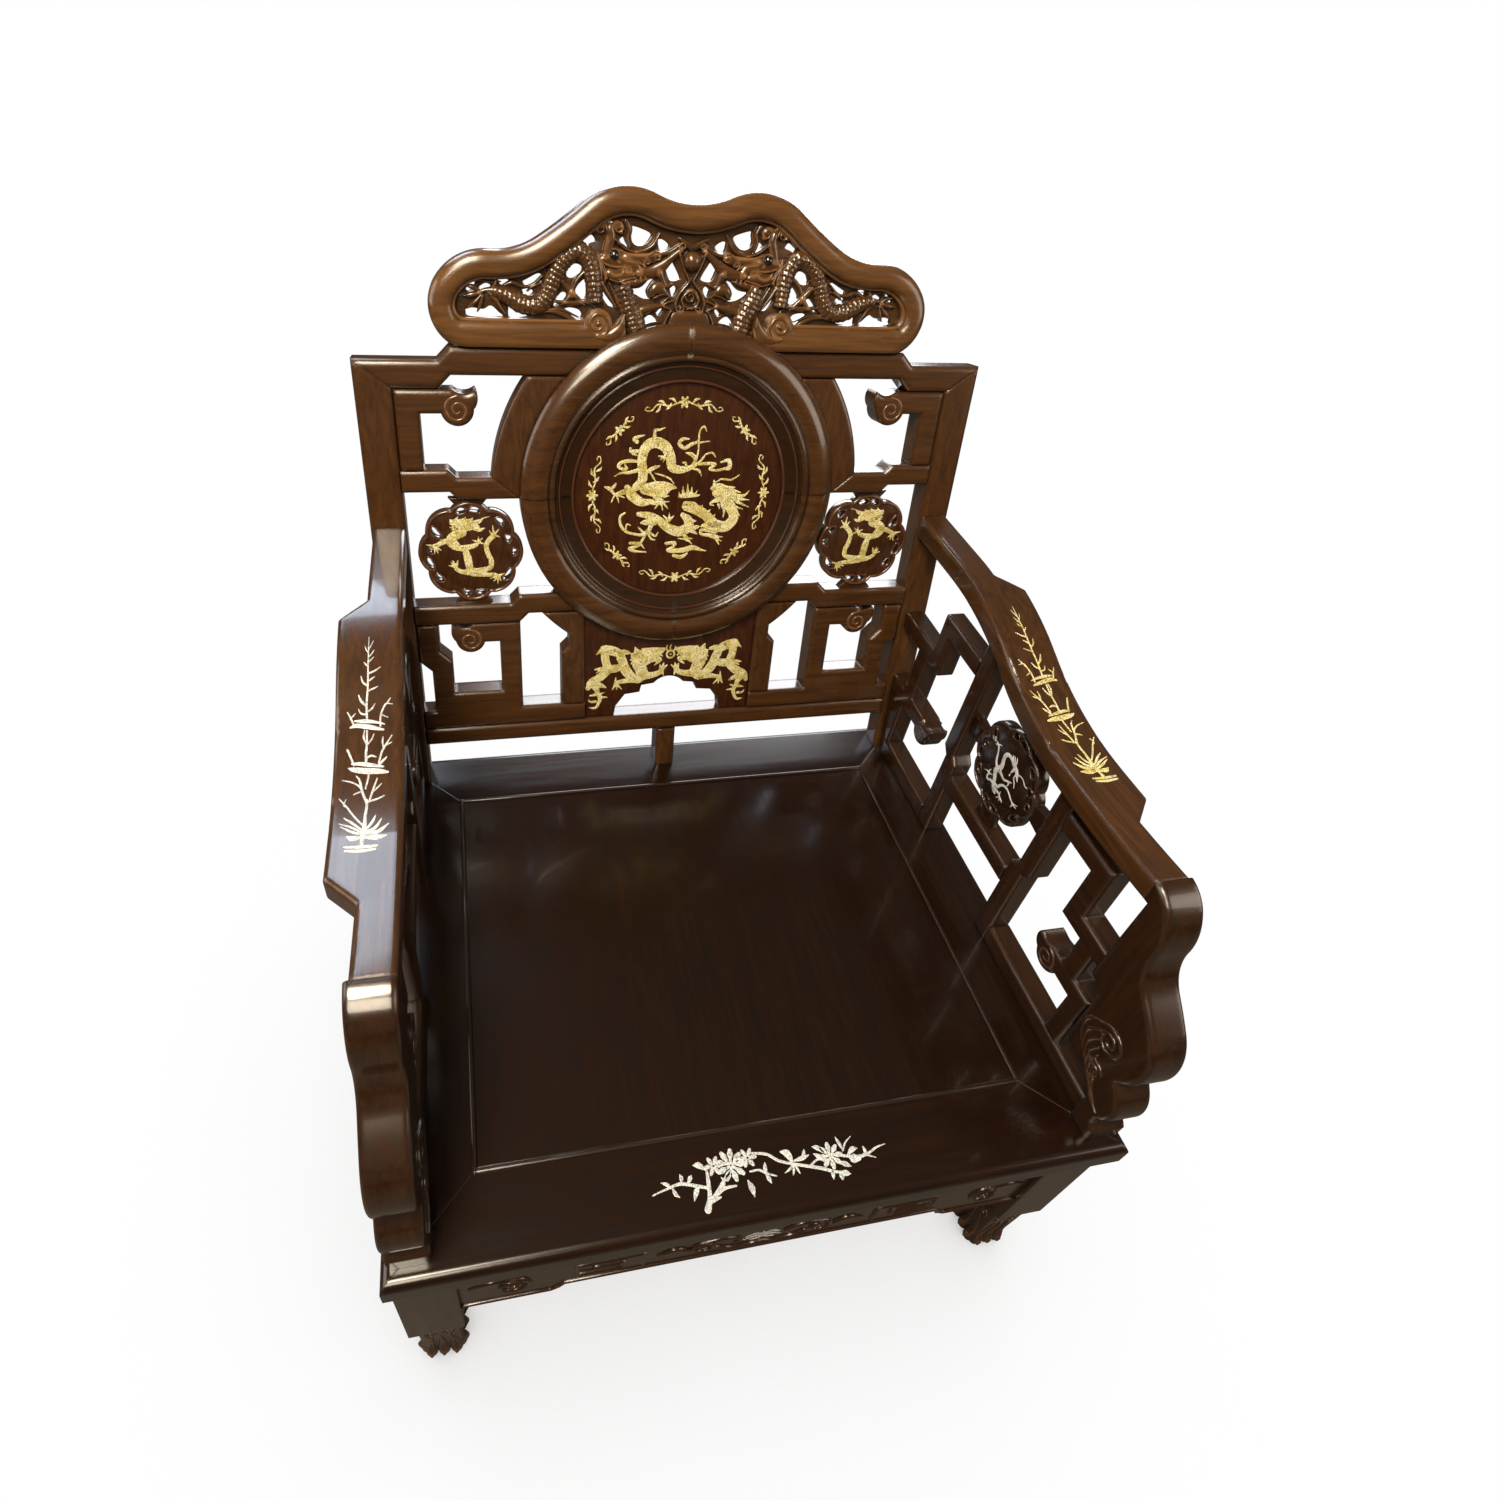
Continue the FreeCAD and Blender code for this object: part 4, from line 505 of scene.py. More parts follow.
# Roundel: a heavy ring of four curved lengths round a dished disc.
# The disc is inlaid with two dragons and a broken garland of leaves and rosettes in golden shell.
ROUNDEL_CENTRE, DISC_FACE = 392, -4
RING_JOINT, JOINT_COLOR = 0.0004, (0.006, 0.002, 0.001, 1)
RING_COVE_SHADE = ((0.60, 0.42), (0.755, 0.34), (0.768, 0.75), (0.79, 0.8), (0.80, 0.25), (0.815, 1.0))
ring_wood = rosewood("ring_rosewood", "x", BACK_DEEP, BACK_WARM)
tree = ring_wood.node_tree
skin = tree.nodes["Principled BSDF"]
centre = Vector(back_line) + Vector(up_back) * ROUNDEL_CENTRE / 1000
where = node(tree, "ShaderNodeTexCoord").outputs["Object"]
moved = node(tree, "ShaderNodeVectorMath", {0: where, 1: centre}, operation="SUBTRACT").outputs[0]
slope = node(tree, "ShaderNodeVectorMath", {0: moved, 1: up_back}, operation="DOT_PRODUCT").outputs["Value"]
across = node(tree, "ShaderNodeSeparateXYZ", {0: moved}).outputs["X"]
plane = node(tree, "ShaderNodeCombineXYZ", {"X": across, "Y": slope}).outputs[0]
reach = node(tree, "ShaderNodeVectorMath", {0: plane}, operation="LENGTH").outputs["Value"]
# The cove inside the ring and the groove round the disc are painted darker: painted shade. The joint lines below
# are the ring's own dark joints.
cove_shade = ramp(tree, maths(tree, "MULTIPLY", reach, 5.0), RING_COVE_SHADE)
ring_color = blend(tree, 1.0, skin.inputs["Base Color"].links[0].from_socket, cove_shade, "MULTIPLY")
for off in (across, slope):
    joint = maths(tree, "LESS_THAN", maths(tree, "ABSOLUTE", off), RING_JOINT)
    ring_color = blend(tree, joint, ring_color, JOINT_COLOR)
feed(tree, skin, {"Base Color": ring_color})
dress(("roundel_ring",), ring_wood)
on_disc = on_back(0, ROUNDEL_CENTRE, DISC_FACE)
disc_wood = rosewood("disc_rosewood", "z", (0.022, 0.0064, 0.0021), (0.058, 0.0175, 0.0054), coat=0.4)
dress(("roundel_disc",), disc_wood)
rings = []
for radius, width, level, rise in ((147.2, 2.6, 7.4, 1.5), (131, 3.4, 3.2, 1.8)):
    ring = [(radius * math.cos(turn), radius * math.sin(turn), width) for turn in np.linspace(0, math.tau, 121)]
    rings.append(strokes([ring], on_back(0, ROUNDEL_CENTRE, DISC_FACE + level), -1.2, rise, DOMED, 1))
piece("roundel_beads", rings, disc_wood)
UPPER_DRAGON = [
    [(-34.2, -8.3, 5.6), (-46.8, -9.1, 10.3), (-59.2, -0.5, 11.9), (-64.7, 8.9, 7.2)],
    [(-54.6, 8.9, 9.4), (-46.8, 17.5, 11.2), (-46.8, 30, 11.2), (-48, 42.5, 10.9), (-43.6, 56.6, 11.9),
     (-32.7, 61.7, 12.8), (-20.2, 56.6, 12.8), (-13.6, 44.1, 11.9), (-11.1, 33.1, 11.2), (-3, 29.7, 9.4),
     (7.9, 30.6, 6.9), (18.1, 35, 3.4)],
    [(-43.6, 6.6, 12.5), (-31.1, 6.6, 18.4), (-18.6, 8.1, 15), (-10.8, 8.8, 7.8), (-4.6, 7.8, 2.2)],
    [(-29.6, -2, 7.8), (-20.2, -0.9, 5.3), (-13.2, 3.1, 1.2)], [(-28, -5.6, 5.6), (-20.2, -6.2, 1.1)],
    [(-20.2, 5, 3.8), (-12.1, 4.1, 0.9)], [(-18.6, -2.8, 3.4), (-13.2, -2, 0.8)],
    [(-31.4, 25.6, 1.2), (-20.2, 22.2, 2.2), (-12.4, 18.3, 1.9), (-7.4, 12.5, 0.9)],
    [(-38.6, 28.4, 1.9), (-33.5, 20.6, 2), (-29.2, 14.4, 1.2)],
    [(-40.5, 28.1, 5), (-32.7, 32.2, 4.4), (-26.8, 34.1, 1.9)],
    [(17.3, 34.7, 4.1), (23.6, 39.4, 2.5), (29.8, 47.2, 2.2), (37.6, 49.1, 2.5), (42, 43.8, 1.1)],
    [(12.6, 31.2, 2.5), (22, 28.4, 2.8), (25.9, 22.2, 1.4)],
    [(6.7, 32.8, 2.2), (5.1, 37.5, 2.8), (1.4, 37.8, 1.4)],
    [(12, 32.8, 2.2), (17.3, 40.9, 4.1), (12.6, 47.2, 4.7), (4.8, 49.5, 1.6)],
    [(18.1, 42.5, 3.1), (20.1, 51.9, 2), (19.7, 62.8, 2.2), (20.4, 75, 2), (25.1, 79.7, 2.3),
     (28.6, 74.1, 1.2)],
    [(19.7, 62.5, 2.8), (11.1, 59.4, 4.1), (2.9, 55, 4.4), (-3.8, 60, 4.1), (-0.2, 65.2, 3.8),
     (7.6, 65.6, 1.9)], [(20.4, 61.2, 2.5), (33.2, 62.8, 1.1)],
    [(22, 35.9, 3.1), (34.5, 36.6, 3.8), (42.6, 35.5, 3.4), (35.8, 30, 3.4), (45.4, 28.1, 3.1), (54, 30, 3.4),
     (60.1, 31.2, 5.3), (58.9, 40.2, 4.7), (49.3, 37.8, 2.2)],
    [(-54.6, 62.5, 4.7), (-58.3, 65.9, 4.1), (-53, 68.4, 3.4), (-45.8, 70, 1.2)],
    [(-52.7, 51.9, 4.1), (-60.8, 51.6, 4.7), (-62.4, 55.3, 2.5)], [(-59.2, 48.8, 3.1), (-53.9, 46.9, 1.2)],
    [(-33.9, 66.7, 4.1), (-33.6, 75.3, 3.4), (-28, 76.2, 2.5), (-21.4, 78.8, 1.1)],
    [(-28.3, 45.9, 1.4), (-20.2, 44.7, 4.1), (-16.8, 49.5, 3.4)], [(-22.4, 38.8, 1.2), (-19.9, 44.4, 2.2)],
    [(-25.7, 41.7, 1.2), (-20.2, 44.7, 1.9)],
    [(-51.4, 39.4, 2.5), (-62.4, 40.6, 4.4), (-73.3, 38.4, 4.1), (-75.5, 33.1, 3.8), (-65.8, 30.6, 3.4),
     (-68.3, 35.9, 1.9)], [(-51.1, 30, 4.7), (-62.4, 26.9, 3.8), (-73.3, 26.2, 2.2), (-80.8, 22.2, 0.8)],
    [(-63.9, 5, 6.9), (-74.1, 2.2, 5), (-79.2, 0, 3.4)], [(-79.2, 0, 2.5), (-86.1, 7.8, 4.4), (-91.8, 10, 2.2)],
    [(-87.1, 6.6, 2.5), (-81.1, 10, 3.8), (-78.3, 14.1, 1.6)], [(-80.2, -0.9, 2.3), (-83.6, -8.4, 1.4)],
    [(-76.8, -1.2, 2.3), (-74.6, -8.8, 1.4)], [(-74.1, -0.9, 2.2), (-67.7, -3.1, 1.2)],
    [(-32.7, -10.3, 5.3), (-20.2, -10.3, 5.6)], [(-20.2, -9.1, 2.7), (-12.7, -9.1, 1.2)],
    [(-18.6, -11.9, 2.7), (-13.6, -17.5, 1.2)], [(-21.8, -12.8, 2.3), (-19.9, -19.7, 1.1)],
    [(-26.4, -12.8, 2.3), (-29.9, -17.5, 1.1)],
]
LOWER_DRAGON = [
    [(57.9, -5.9, 15.6), (66.7, -18.4, 13.1), (71.4, -30.9, 12.8), (61.8, -41.9, 13.8), (47, -39.1, 14.4),
     (36.1, -28.1, 12.2), (23.6, -20.3, 12.5), (9.5, -15.3, 11.2)],
    [(9.5, -15.3, 9.4), (7.9, -12.2, 6.2), (15.8, -11.4, 4.1), (22.3, -12.5, 1.2)],
    [(5.6, -26.2, 6.2), (12.6, -32.5, 10.9), (13.4, -41.9, 12.8), (1.7, -46.9, 13.1), (-12.4, -41.9, 11.2),
     (-24.9, -31.7, 9.7), (-35.8, -26.2, 9.1), (-49.9, -23.8, 5.6)],
    [(41.5, 6.6, 6.2), (48.6, 6.6, 12.5), (57.9, 0.3, 17.2), (66.5, -3.8, 15)],
    [(42, 16.2, 1.6), (43.9, 9.7, 5.9)], [(43.9, 0.3, 5.6), (46.7, -2.8, 4.7)],
    [(50.1, -7.5, 6.9), (43.1, -10, 3.8), (39.5, -13.4, 2.2), (44.2, -15, 1.2)],
    [(55.1, -13.8, 5), (58.2, -21.6, 3.4), (57.6, -30, 1.1)], [(50.1, -13.8, 3.4), (52, -19.4, 0.9)],
    [(45.1, 14.1, 1.2), (51.7, 17.5, 2.2), (62.6, 16.4, 2.2), (68.6, 18.8, 1.9), (73.9, 22.5, 0.8)],
    [(59.5, 6.6, 5.6), (69.8, 7.2, 1.2)], [(65.8, 3.8, 5.3), (77.6, 0.6, 1.1)],
    [(72, -4.4, 6.9), (82.9, -2.8, 3.1), (88.6, 3.1, 0.8)], [(73.6, -7.5, 5), (89.2, -8.8, 0.9)],
    [(73.6, -10.9, 4.1), (89.5, -17.8, 0.8)], [(72.3, -17.2, 3.1), (82.2, -20.3, 0.8)],
    [(73.2, -21.6, 2.8), (79.2, -28.8, 0.8)], [(28.2, -18.4, 4.1), (29.8, -14.5, 0.8)],
    [(37.6, -23.9, 4.1), (40.1, -20, 0.8)], [(43.9, -30.9, 4.1), (47, -26.2, 0.8)],
    [(18.9, -15.3, 3.8), (19.7, -10.6, 0.8)], [(50.1, -40.6, 11.6), (34.5, -40, 5.9), (30.1, -41.6, 1.6)],
    [(48.6, -46.6, 9.4), (37.6, -46.2, 4.7), (30.1, -46.2, 3.4), (31.1, -51.2, 3.4), (40.8, -52.8, 4.7),
     (51.1, -55.9, 6.2)], [(51.1, -55.6, 3.8), (58.9, -55.6, 1.2)], [(51.1, -57.5, 3.8), (57.9, -60.9, 1.2)],
    [(51.7, -59.1, 3.4), (55.1, -65.6, 1.1)], [(17.3, -43.8, 7.8), (26.1, -41.6, 4.1)],
    [(18.9, -46.6, 5.6), (25.1, -50.6, 1.9)], [(9.5, -52.5, 4.7), (13.4, -57.5, 5.6)],
    [(12.6, -55.9, 3.1), (20.1, -56.9, 1.1)], [(13.9, -58.1, 3.1), (19.5, -63.4, 1.1)],
    [(11.1, -57.2, 2.8), (1.4, -55.9, 1.1)], [(-12.1, -32.8, 4.1), (-18.9, -25.9, 1.2)],
    [(-11.1, -32.5, 4.1), (-11.4, -23.8, 1.2)], [(-9.6, -31.2, 3.4), (-5.5, -26.9, 1.2)],
    [(15.8, -34.1, 6.6), (22.6, -34.1, 1.9)], [(-28, -34.1, 8.1), (-40.5, -34.4, 6.9), (-46.4, -35, 2.2)],
    [(-33.6, -37.2, 6.6), (-35.8, -43.4, 5), (-43.6, -49.7, 3.9), (-53, -49.1, 3.4), (-65.5, -45, 3.4),
     (-72.1, -35.6, 3.4), (-72.1, -26.2, 3.1), (-66.8, -22.2, 2.2)],
    [(-65.2, -41.9, 2.2), (-63.9, -36.2, 1.9), (-59.6, -37.5, 1.2)], [(-43.6, -46.9, 3.1), (-49.6, -40.6, 1.6)],
    [(-37.4, -48.1, 2.5), (-32.7, -55.6, 2.5), (-27.7, -56.9, 1.1)],
    [(-35.8, -46.6, 2.5), (-28, -52.2, 2.5), (-24.6, -47.5, 1.2)],
    [(-40.2, -49.7, 3.1), (-45.2, -59.1, 3.4), (-49.9, -63.8, 4.1)],
    [(-59.2, -60.3, 3.4), (-46.8, -61.6, 4.1), (-53, -65.3, 3.8), (-59.9, -67.2, 4.1), (-53, -70.9, 3.4),
     (-38.3, -72.5, 1.1)], [(-46.8, -60.6, 3.4), (-41.1, -68.1, 0.9)],
    [(-13.6, -62.2, 3.8), (-2.7, -61.6, 4.4), (-4.6, -66.9, 3.8), (-11.1, -70.9, 4.1), (-3, -73.4, 3.8)],
    [(-3, -78.1, 4.4), (6.4, -80.3, 5), (14.2, -75.9, 2.5)],
    [(-4.6, -71.6, 4.7), (7.9, -71.6, 6.6), (20.4, -68.4, 6.6), (31.4, -71.6, 3.4), (38.9, -73.4, 0.9)],
    [(0.4, -3.1, 3.8), (11.1, -1.2, 7.2), (22.6, -2.2, 3.4)], [(0.8, -2.8, 3.1), (-0.8, 2.2, 0.8)],
    [(4.8, 0, 4.1), (3.9, 9.1, 0.9)], [(10.4, 1.6, 4.1), (9.5, 12.2, 0.8)],
    [(15.1, 0.9, 3.4), (15.1, 8.4, 0.8)], [(19.2, -1.2, 2.8), (22.3, 4.4, 0.6)],
    [(21.2, -2.8, 2.5), (25.8, -1.2, 0.8)],
]
inlay("inlay_roundel_dragons", UPPER_DRAGON + LOWER_DRAGON, on_disc, golden_pearl)
GARLAND_RADIUS = 107


def bent(points, angle):
    """A stroke drawn along (millimetres of arc, outward) laid round the garland's circle."""
    made = []
    for along, out, width in points:
        turn = angle - along / GARLAND_RADIUS
        made.append(((GARLAND_RADIUS + out) * math.cos(turn), (GARLAND_RADIUS + out) * math.sin(turn), width))
    return made


def spray(stem, leaf, places):
    """A stem with one kind of leaf at several places along it, each leaning out or in."""
    return [stem, *([(place + along, lean * out, width) for along, out, width in leaf] for place, lean in places)]


long_spray = spray([(6, 0, 1.6), (18, -2.5, 2.0), (31, 2, 1.8), (41, -2, 1.5), (47, 1.5, 1.3), (43.5, 3.6, 1.0),
                    (41.5, 1.8, 0.8)],
                   [(0, 0, 1.1), (3, 4, 2.9), (7.5, 5.6, 0.7)], ((10, 1), (16, -1), (23, 1), (29, -1)))
short_spray = spray([(5, 0, 1.6), (12, 2, 2.0), (18, -1.5, 1.6), (22, 1.2, 1.2), (19.5, 2.8, 0.8)],
                    [(0, 0, 1.2), (3, 3.6, 2.8), (7, 5, 0.7)], ((6, -1), (10, 1)))
garland = []
for quarter in range(4):
    for turn, rosette, leaves in ((0, (6, 1.2, 6, 3.6), long_spray), (math.pi / 4, (5, 1, 5.2, 3.4), short_spray)):
        angle = quarter * math.pi / 2 + turn
        garland += petals(GARLAND_RADIUS * math.cos(angle), GARLAND_RADIUS * math.sin(angle), *rosette)
        garland += [bent(stroke, angle) for stroke in pair(leaves)]
inlay("inlay_roundel_garland", garland, on_disc, golden_pearl, 0.3)

# Under panel: a pierced board below the roundel, tenoned between the two stiles.
# Two shell dragons face each other over it round a flaming pearl.
dress(("under_panel",), disc_wood)
PANEL_DRAGON = [
    [(-48.8, 174.6, 8.8), (-38.5, 172.4, 25.9), (-28.2, 175, 22.9), (-16.5, 179.4, 13.5), (-8.5, 182.4, 5)],
    [(-23.8, 169.1, 9.7), (-13.2, 168.2, 5.9), (-16.2, 163.5, 4.1), (-20.3, 159.7, 1.8)],
    [(-45.2, 180.9, 8.8), (-47.7, 187.4, 1.8)], [(-48.8, 176.5, 7.6), (-53.5, 178.5, 1.5)],
    [(-48.8, 170.9, 7.6), (-53.5, 168.8, 1.5)], [(-48.8, 166.5, 5.9), (-52.4, 163.2, 1.3)],
    [(-31.2, 183.4, 4.4), (-23.8, 184.9, 1.2)], [(-13.5, 175.3, 3.5), (-10, 172.4, 1.2)],
    [(-42.9, 162.1, 16.2), (-38.5, 153.2, 16.2), (-37.1, 144.4, 16.2), (-39.3, 137.8, 7.4)],
    [(-34.1, 144.4, 12.4), (-22.4, 144.7, 8.8), (-12.4, 148.5, 7.4), (-8.8, 154.7, 6.2)],
    [(-11.8, 153.2, 4.4), (-12.9, 160.3, 1.3)], [(-9.1, 155.9, 4.4), (-7.7, 161.8, 1.3)],
    [(-7.7, 154.4, 4.4), (-2.7, 158.5, 1.3)], [(-8.8, 149.1, 3.8), (-7.4, 143.2, 1.3)],
    [(-41.8, 137.4, 8.8), (-51.8, 144.1, 12.4), (-60.3, 155.4, 13.5), (-63.8, 166.5, 12.1),
     (-66.8, 175.3, 12.1), (-63.5, 180.9, 8.8), (-55.9, 180, 4.4)],
    [(-69.4, 179.7, 11.8), (-79.7, 184.7, 13.5), (-88.5, 185.3, 11.8)],
    [(-87.8, 183.2, 12.1), (-87.4, 170.9, 10.6), (-83.8, 158.4, 11.8)],
    [(-85.6, 157.4, 10.9), (-75.3, 157.4, 11.8), (-64.7, 160.3, 9.1)], [(-90, 188.2, 8.8), (-98.8, 180, 1.8)],
    [(-85.6, 157.4, 8.8), (-94.4, 157.9, 5.6), (-101.5, 157.4, 1.3)],
    [(-92.9, 155.9, 4.4), (-99.1, 152.6, 1.3)], [(-86.8, 190, 5.9), (-81.2, 190.7, 1.5)],
    [(-75.3, 185.6, 5.3), (-71.5, 187.9, 1.2)],
    [(-85.9, 151.8, 9.7), (-95.9, 144.4, 12.1), (-106.2, 138.2, 10.6), (-110.3, 130, 6.5)],
    [(-105.9, 137.1, 8.8), (-99.1, 128.2, 7.4), (-97.4, 120.9, 5.9), (-93.8, 114.7, 5.9), (-95.6, 106.2, 4.4),
     (-100.3, 98.8, 3.8), (-108.2, 99.7, 1.5)], [(-98.8, 135.6, 7.6), (-91.5, 132.6, 6.2), (-85.9, 129.4, 1.2)],
    [(-101.5, 119.1, 4.4), (-107.9, 118.2, 1.5)], [(-95.6, 119.4, 4.1), (-88.5, 122.1, 1.2)],
    [(-92.7, 115, 4.1), (-84.7, 114.4, 1.5)], [(-100, 108.8, 4.1), (-106.9, 108.8, 2.9), (-110, 112.4, 0.9)],
    [(-42.9, 138.2, 8.8), (-54.7, 138.5, 7.6), (-66.5, 137.1, 5.9), (-72.7, 135.6, 5.3)],
    [(-73.1, 135.6, 3.8), (-72.9, 144.1, 1.2)], [(-73.8, 132.6, 3.8), (-77.1, 125.6, 1.2)],
    [(-72.1, 132.4, 3.5), (-71.2, 125.6, 1.2)], [(-70.3, 132.1, 3.8), (-64.4, 125.6, 1.2)],
]
pearl = [[(5.3 * math.cos(turn) + 1, 174.5 + 5.3 * math.sin(turn), 2.6) for turn in np.linspace(0, 6.1, 16)],
         [(1, 180, 2.4), (0, 185, 1.8), (2, 190, 0.6)], [(-3, 179, 2), (-5, 184, 1.6), (-4, 188, 0.6)],
         [(5, 179, 2), (7, 183, 1.6), (6.5, 187, 0.6)], [(0.5, 174.5, 2.2), (1.5, 174.5, 2.2)]]
inlay("inlay_panel_dragons", PANEL_DRAGON + flipped(PANEL_DRAGON, -1) + pearl, on_back(0, 0, -5), golden_pearl)

# Frets of the back: square key frets and corner brackets sawn from board, their faces cushioned.
# Each hook ends in a spiral cut into its face.
CURL_SUNK, CURL_RISE = -1.5, 2.6
dress(("square_fret_left", "square_fret_right", "bracket_left", "bracket_right"), back_across)


def curl(x, y, turns):
    """The spiral at the end of a fret's hook."""
    return spiral(x, y, 14.5, 3, turns, math.pi / 2, 4.2)


curls = strokes(pair([curl(257, 490.5, -1.6), curl(260, 211.5, 1.6)]), on_back(0, 0, -1.2), CURL_SUNK, CURL_RISE,
                DOMED)
carved_fret = rosewood("carved_fret_rosewood", "x", BACK_DEEP, BACK_WARM, wear_and_highlight=0.6, reach=0.002, soft=0.0008)
piece("back_fret_curls", [curls], carved_fret)

# Medallions: eight-lobed plates, pierced round the edge, with a raised rim and a plaque in the middle.
# Each plaque carries one leaping dragon in golden shell; short necks hold the plate to its rails.
SIDES = (("left", -1), ("right", 1))
MEDALLION_RADIUS, LOBE_COUNT, CUSP = 62, 8, 0.905
PLATE_BACK, NECK_START, HOLE_LIP, HOLE_BOW = -14, 57, 2.6, 0.22
medallion_wood = rosewood("medallion_rosewood", "z", (0.024, 0.0082, 0.0030), (0.066, 0.0240, 0.0082),
                          soft=0.0008)
MEDALLION_DRAGON = [
    [(-21.2, 38.7, 4), (-14.2, 36.2, 11.2), (-6.2, 34.2, 14.6), (2.3, 34.2, 13.2), (8.3, 31.4, 6)],
    [(4.8, 31.2, 7.2), (10.8, 28, 5), (16.8, 29.6, 1.4)],
    [(5.3, 36.2, 6.6), (12.8, 39.2, 4), (15.4, 41.8, 1.2)],
    [(11.8, 39, 1.6), (16.8, 42.2, 1.2), (23.2, 43.8, 0.4)], [(-18, 39, 4.2), (-22.6, 41, 0.7)],
    [(-18.2, 34.2, 4.2), (-23, 36.2, 0.7)], [(-16, 40, 4.2), (-13, 44.4, 0.7)],
    [(-8.2, 40, 3.4), (-4, 43.4, 0.7)], [(-0.2, 39, 3.4), (4.2, 42.6, 0.7)],
    [(-18.2, 29, 4.4), (-21.6, 28.6, 0.8)], [(-20.2, 31.2, 4), (-23, 31.8, 0.7)],
    [(-9.2, 24.7, 10), (-19, 21, 11.2), (-22.6, 15.2, 12), (-18.2, 9.2, 11.2), (-10.6, 4, 4.6)],
    [(-7.6, 5.4, 6), (-5.4, -2.8, 8.6), (-4.2, -10.8, 9.2), (-3, -20.4, 8)],
    [(-13, -24, 2.6), (-3.2, -23, 7.2), (6.8, -24, 8.2), (17.3, -21.6, 6.6)],
    [(15.6, -22, 6), (21.8, -18.8, 6.2), (22.8, -10.8, 6.2), (19.8, -2.8, 6), (17.8, 7.2, 5.6), (20.8, 14.2, 6),
     (27, 20.4, 6.2)], [(26, 21, 3.2), (22.2, 26.6, 0.8)], [(27.6, 23, 3.2), (26.6, 32.6, 0.8)],
    [(28.8, 22.2, 3.2), (33.8, 28.4, 0.8)], [(29.8, 20.2, 3), (34.2, 18.6, 0.8)],
    [(-24.2, 16, 6.2), (-32.2, 14, 6), (-39.7, 10.2, 5), (-43.2, 9, 5)],
    [(-43.2, 9.2, 4.2), (-51.8, 11.2, 0.8)], [(-42.2, 7.2, 4), (-43.4, -0.4, 0.8)],
    [(-40.2, 7, 4), (-35, 4, 0.8)], [(-40.2, 6.2, 3.6), (-39, 0.6, 0.8)],
    [(-10.2, 7, 5), (-2.2, 7, 6.2), (4.8, 9, 5), (8.8, 13, 4)], [(7.8, 13.2, 3), (2.4, 15.4, 0.8)],
    [(8.8, 14.2, 2.6), (9.4, 19, 0.8)], [(9.8, 14.2, 2.6), (13.8, 17.6, 0.8)],
    [(10.8, 12.2, 2.6), (16.2, 10, 0.8)],
    [(-3.2, -25.8, 6.2), (-12.2, -24, 5.8), (-18.2, -20.8, 5), (-20.2, -16.8, 5)],
    [(-21, -16.8, 3.6), (-27.2, -15.6, 0.8)], [(-20.2, -15, 3.6), (-22.6, -9.4, 0.8)],
    [(-18.2, -15, 3.6), (-16.4, -9.4, 0.8)], [(-22.7, -13.8, 2.8), (-24.7, -11.3, 0.8)],
    [(-0.2, -27, 6), (13.8, -28.4, 5.8), (25.8, -29, 4.4), (30.2, -30.8, 4.4)],
    [(30.8, -30.8, 3.8), (39.8, -27.4, 0.8)], [(28.8, -31.8, 3.4), (20.4, -33.8, 0.8)],
    [(29.8, -32.8, 3.4), (24.4, -37.2, 0.8)], [(30.3, -32.8, 3.4), (29.4, -40.8, 0.8)],
    [(31.3, -32.3, 3.2), (33.4, -37.2, 0.8)],
]
HOLES = (
    (-9, 49.9, 10, 6.5, 0.25), (6.5, 50.9, 12, 6, -0.15), (34.5, 36.5, 11, 6.5, -0.8),
    (43.5, 15.5, 9, 6.5, -1.25), (50.5, -1, 7.5, 5.5, -1.6), (41.4, -29, 16, 6.2, 4.1),
    (9, -49.8, 12, 6.5, 3.2), (-7.5, -49.8, 9, 7, 3), (-38, -30.5, 11, 5.5, 2.3), (-47.8, -12.3, 15, 6, 1.95),
    (-46, 3, 5, 4.5, 1.5), (-38.5, 25.5, 16, 6.5, 2.15),
)


def lobed(radius, count=14):
    """The outline of an eight-lobed plate, a lobe at its top."""
    line = []
    for lobe in range(LOBE_COUNT):
        middle = lobe * math.tau / LOBE_COUNT
        for share in np.linspace(-0.5, 0.5, count, endpoint=False):
            swell = CUSP + (1 - CUSP) * math.cos(share * math.pi) ** 0.8
            angle = middle + share * math.tau / LOBE_COUNT
            line.append((radius * swell * math.sin(angle), radius * swell * math.cos(angle)))
    return line


def bean(x, y, long, wide, turn):
    """A pierced hole: a bent drop."""
    line = []
    for angle in np.linspace(0, math.tau, 18, endpoint=False):
        along, out = long / 2 * math.cos(angle), wide / 2 * math.sin(angle)
        out += HOLE_BOW * wide * (1 - (2 * along / long) ** 2)
        line.append((x + along * math.cos(turn) - out * math.sin(turn),
                     y + along * math.sin(turn) + out * math.cos(turn)))
    return line


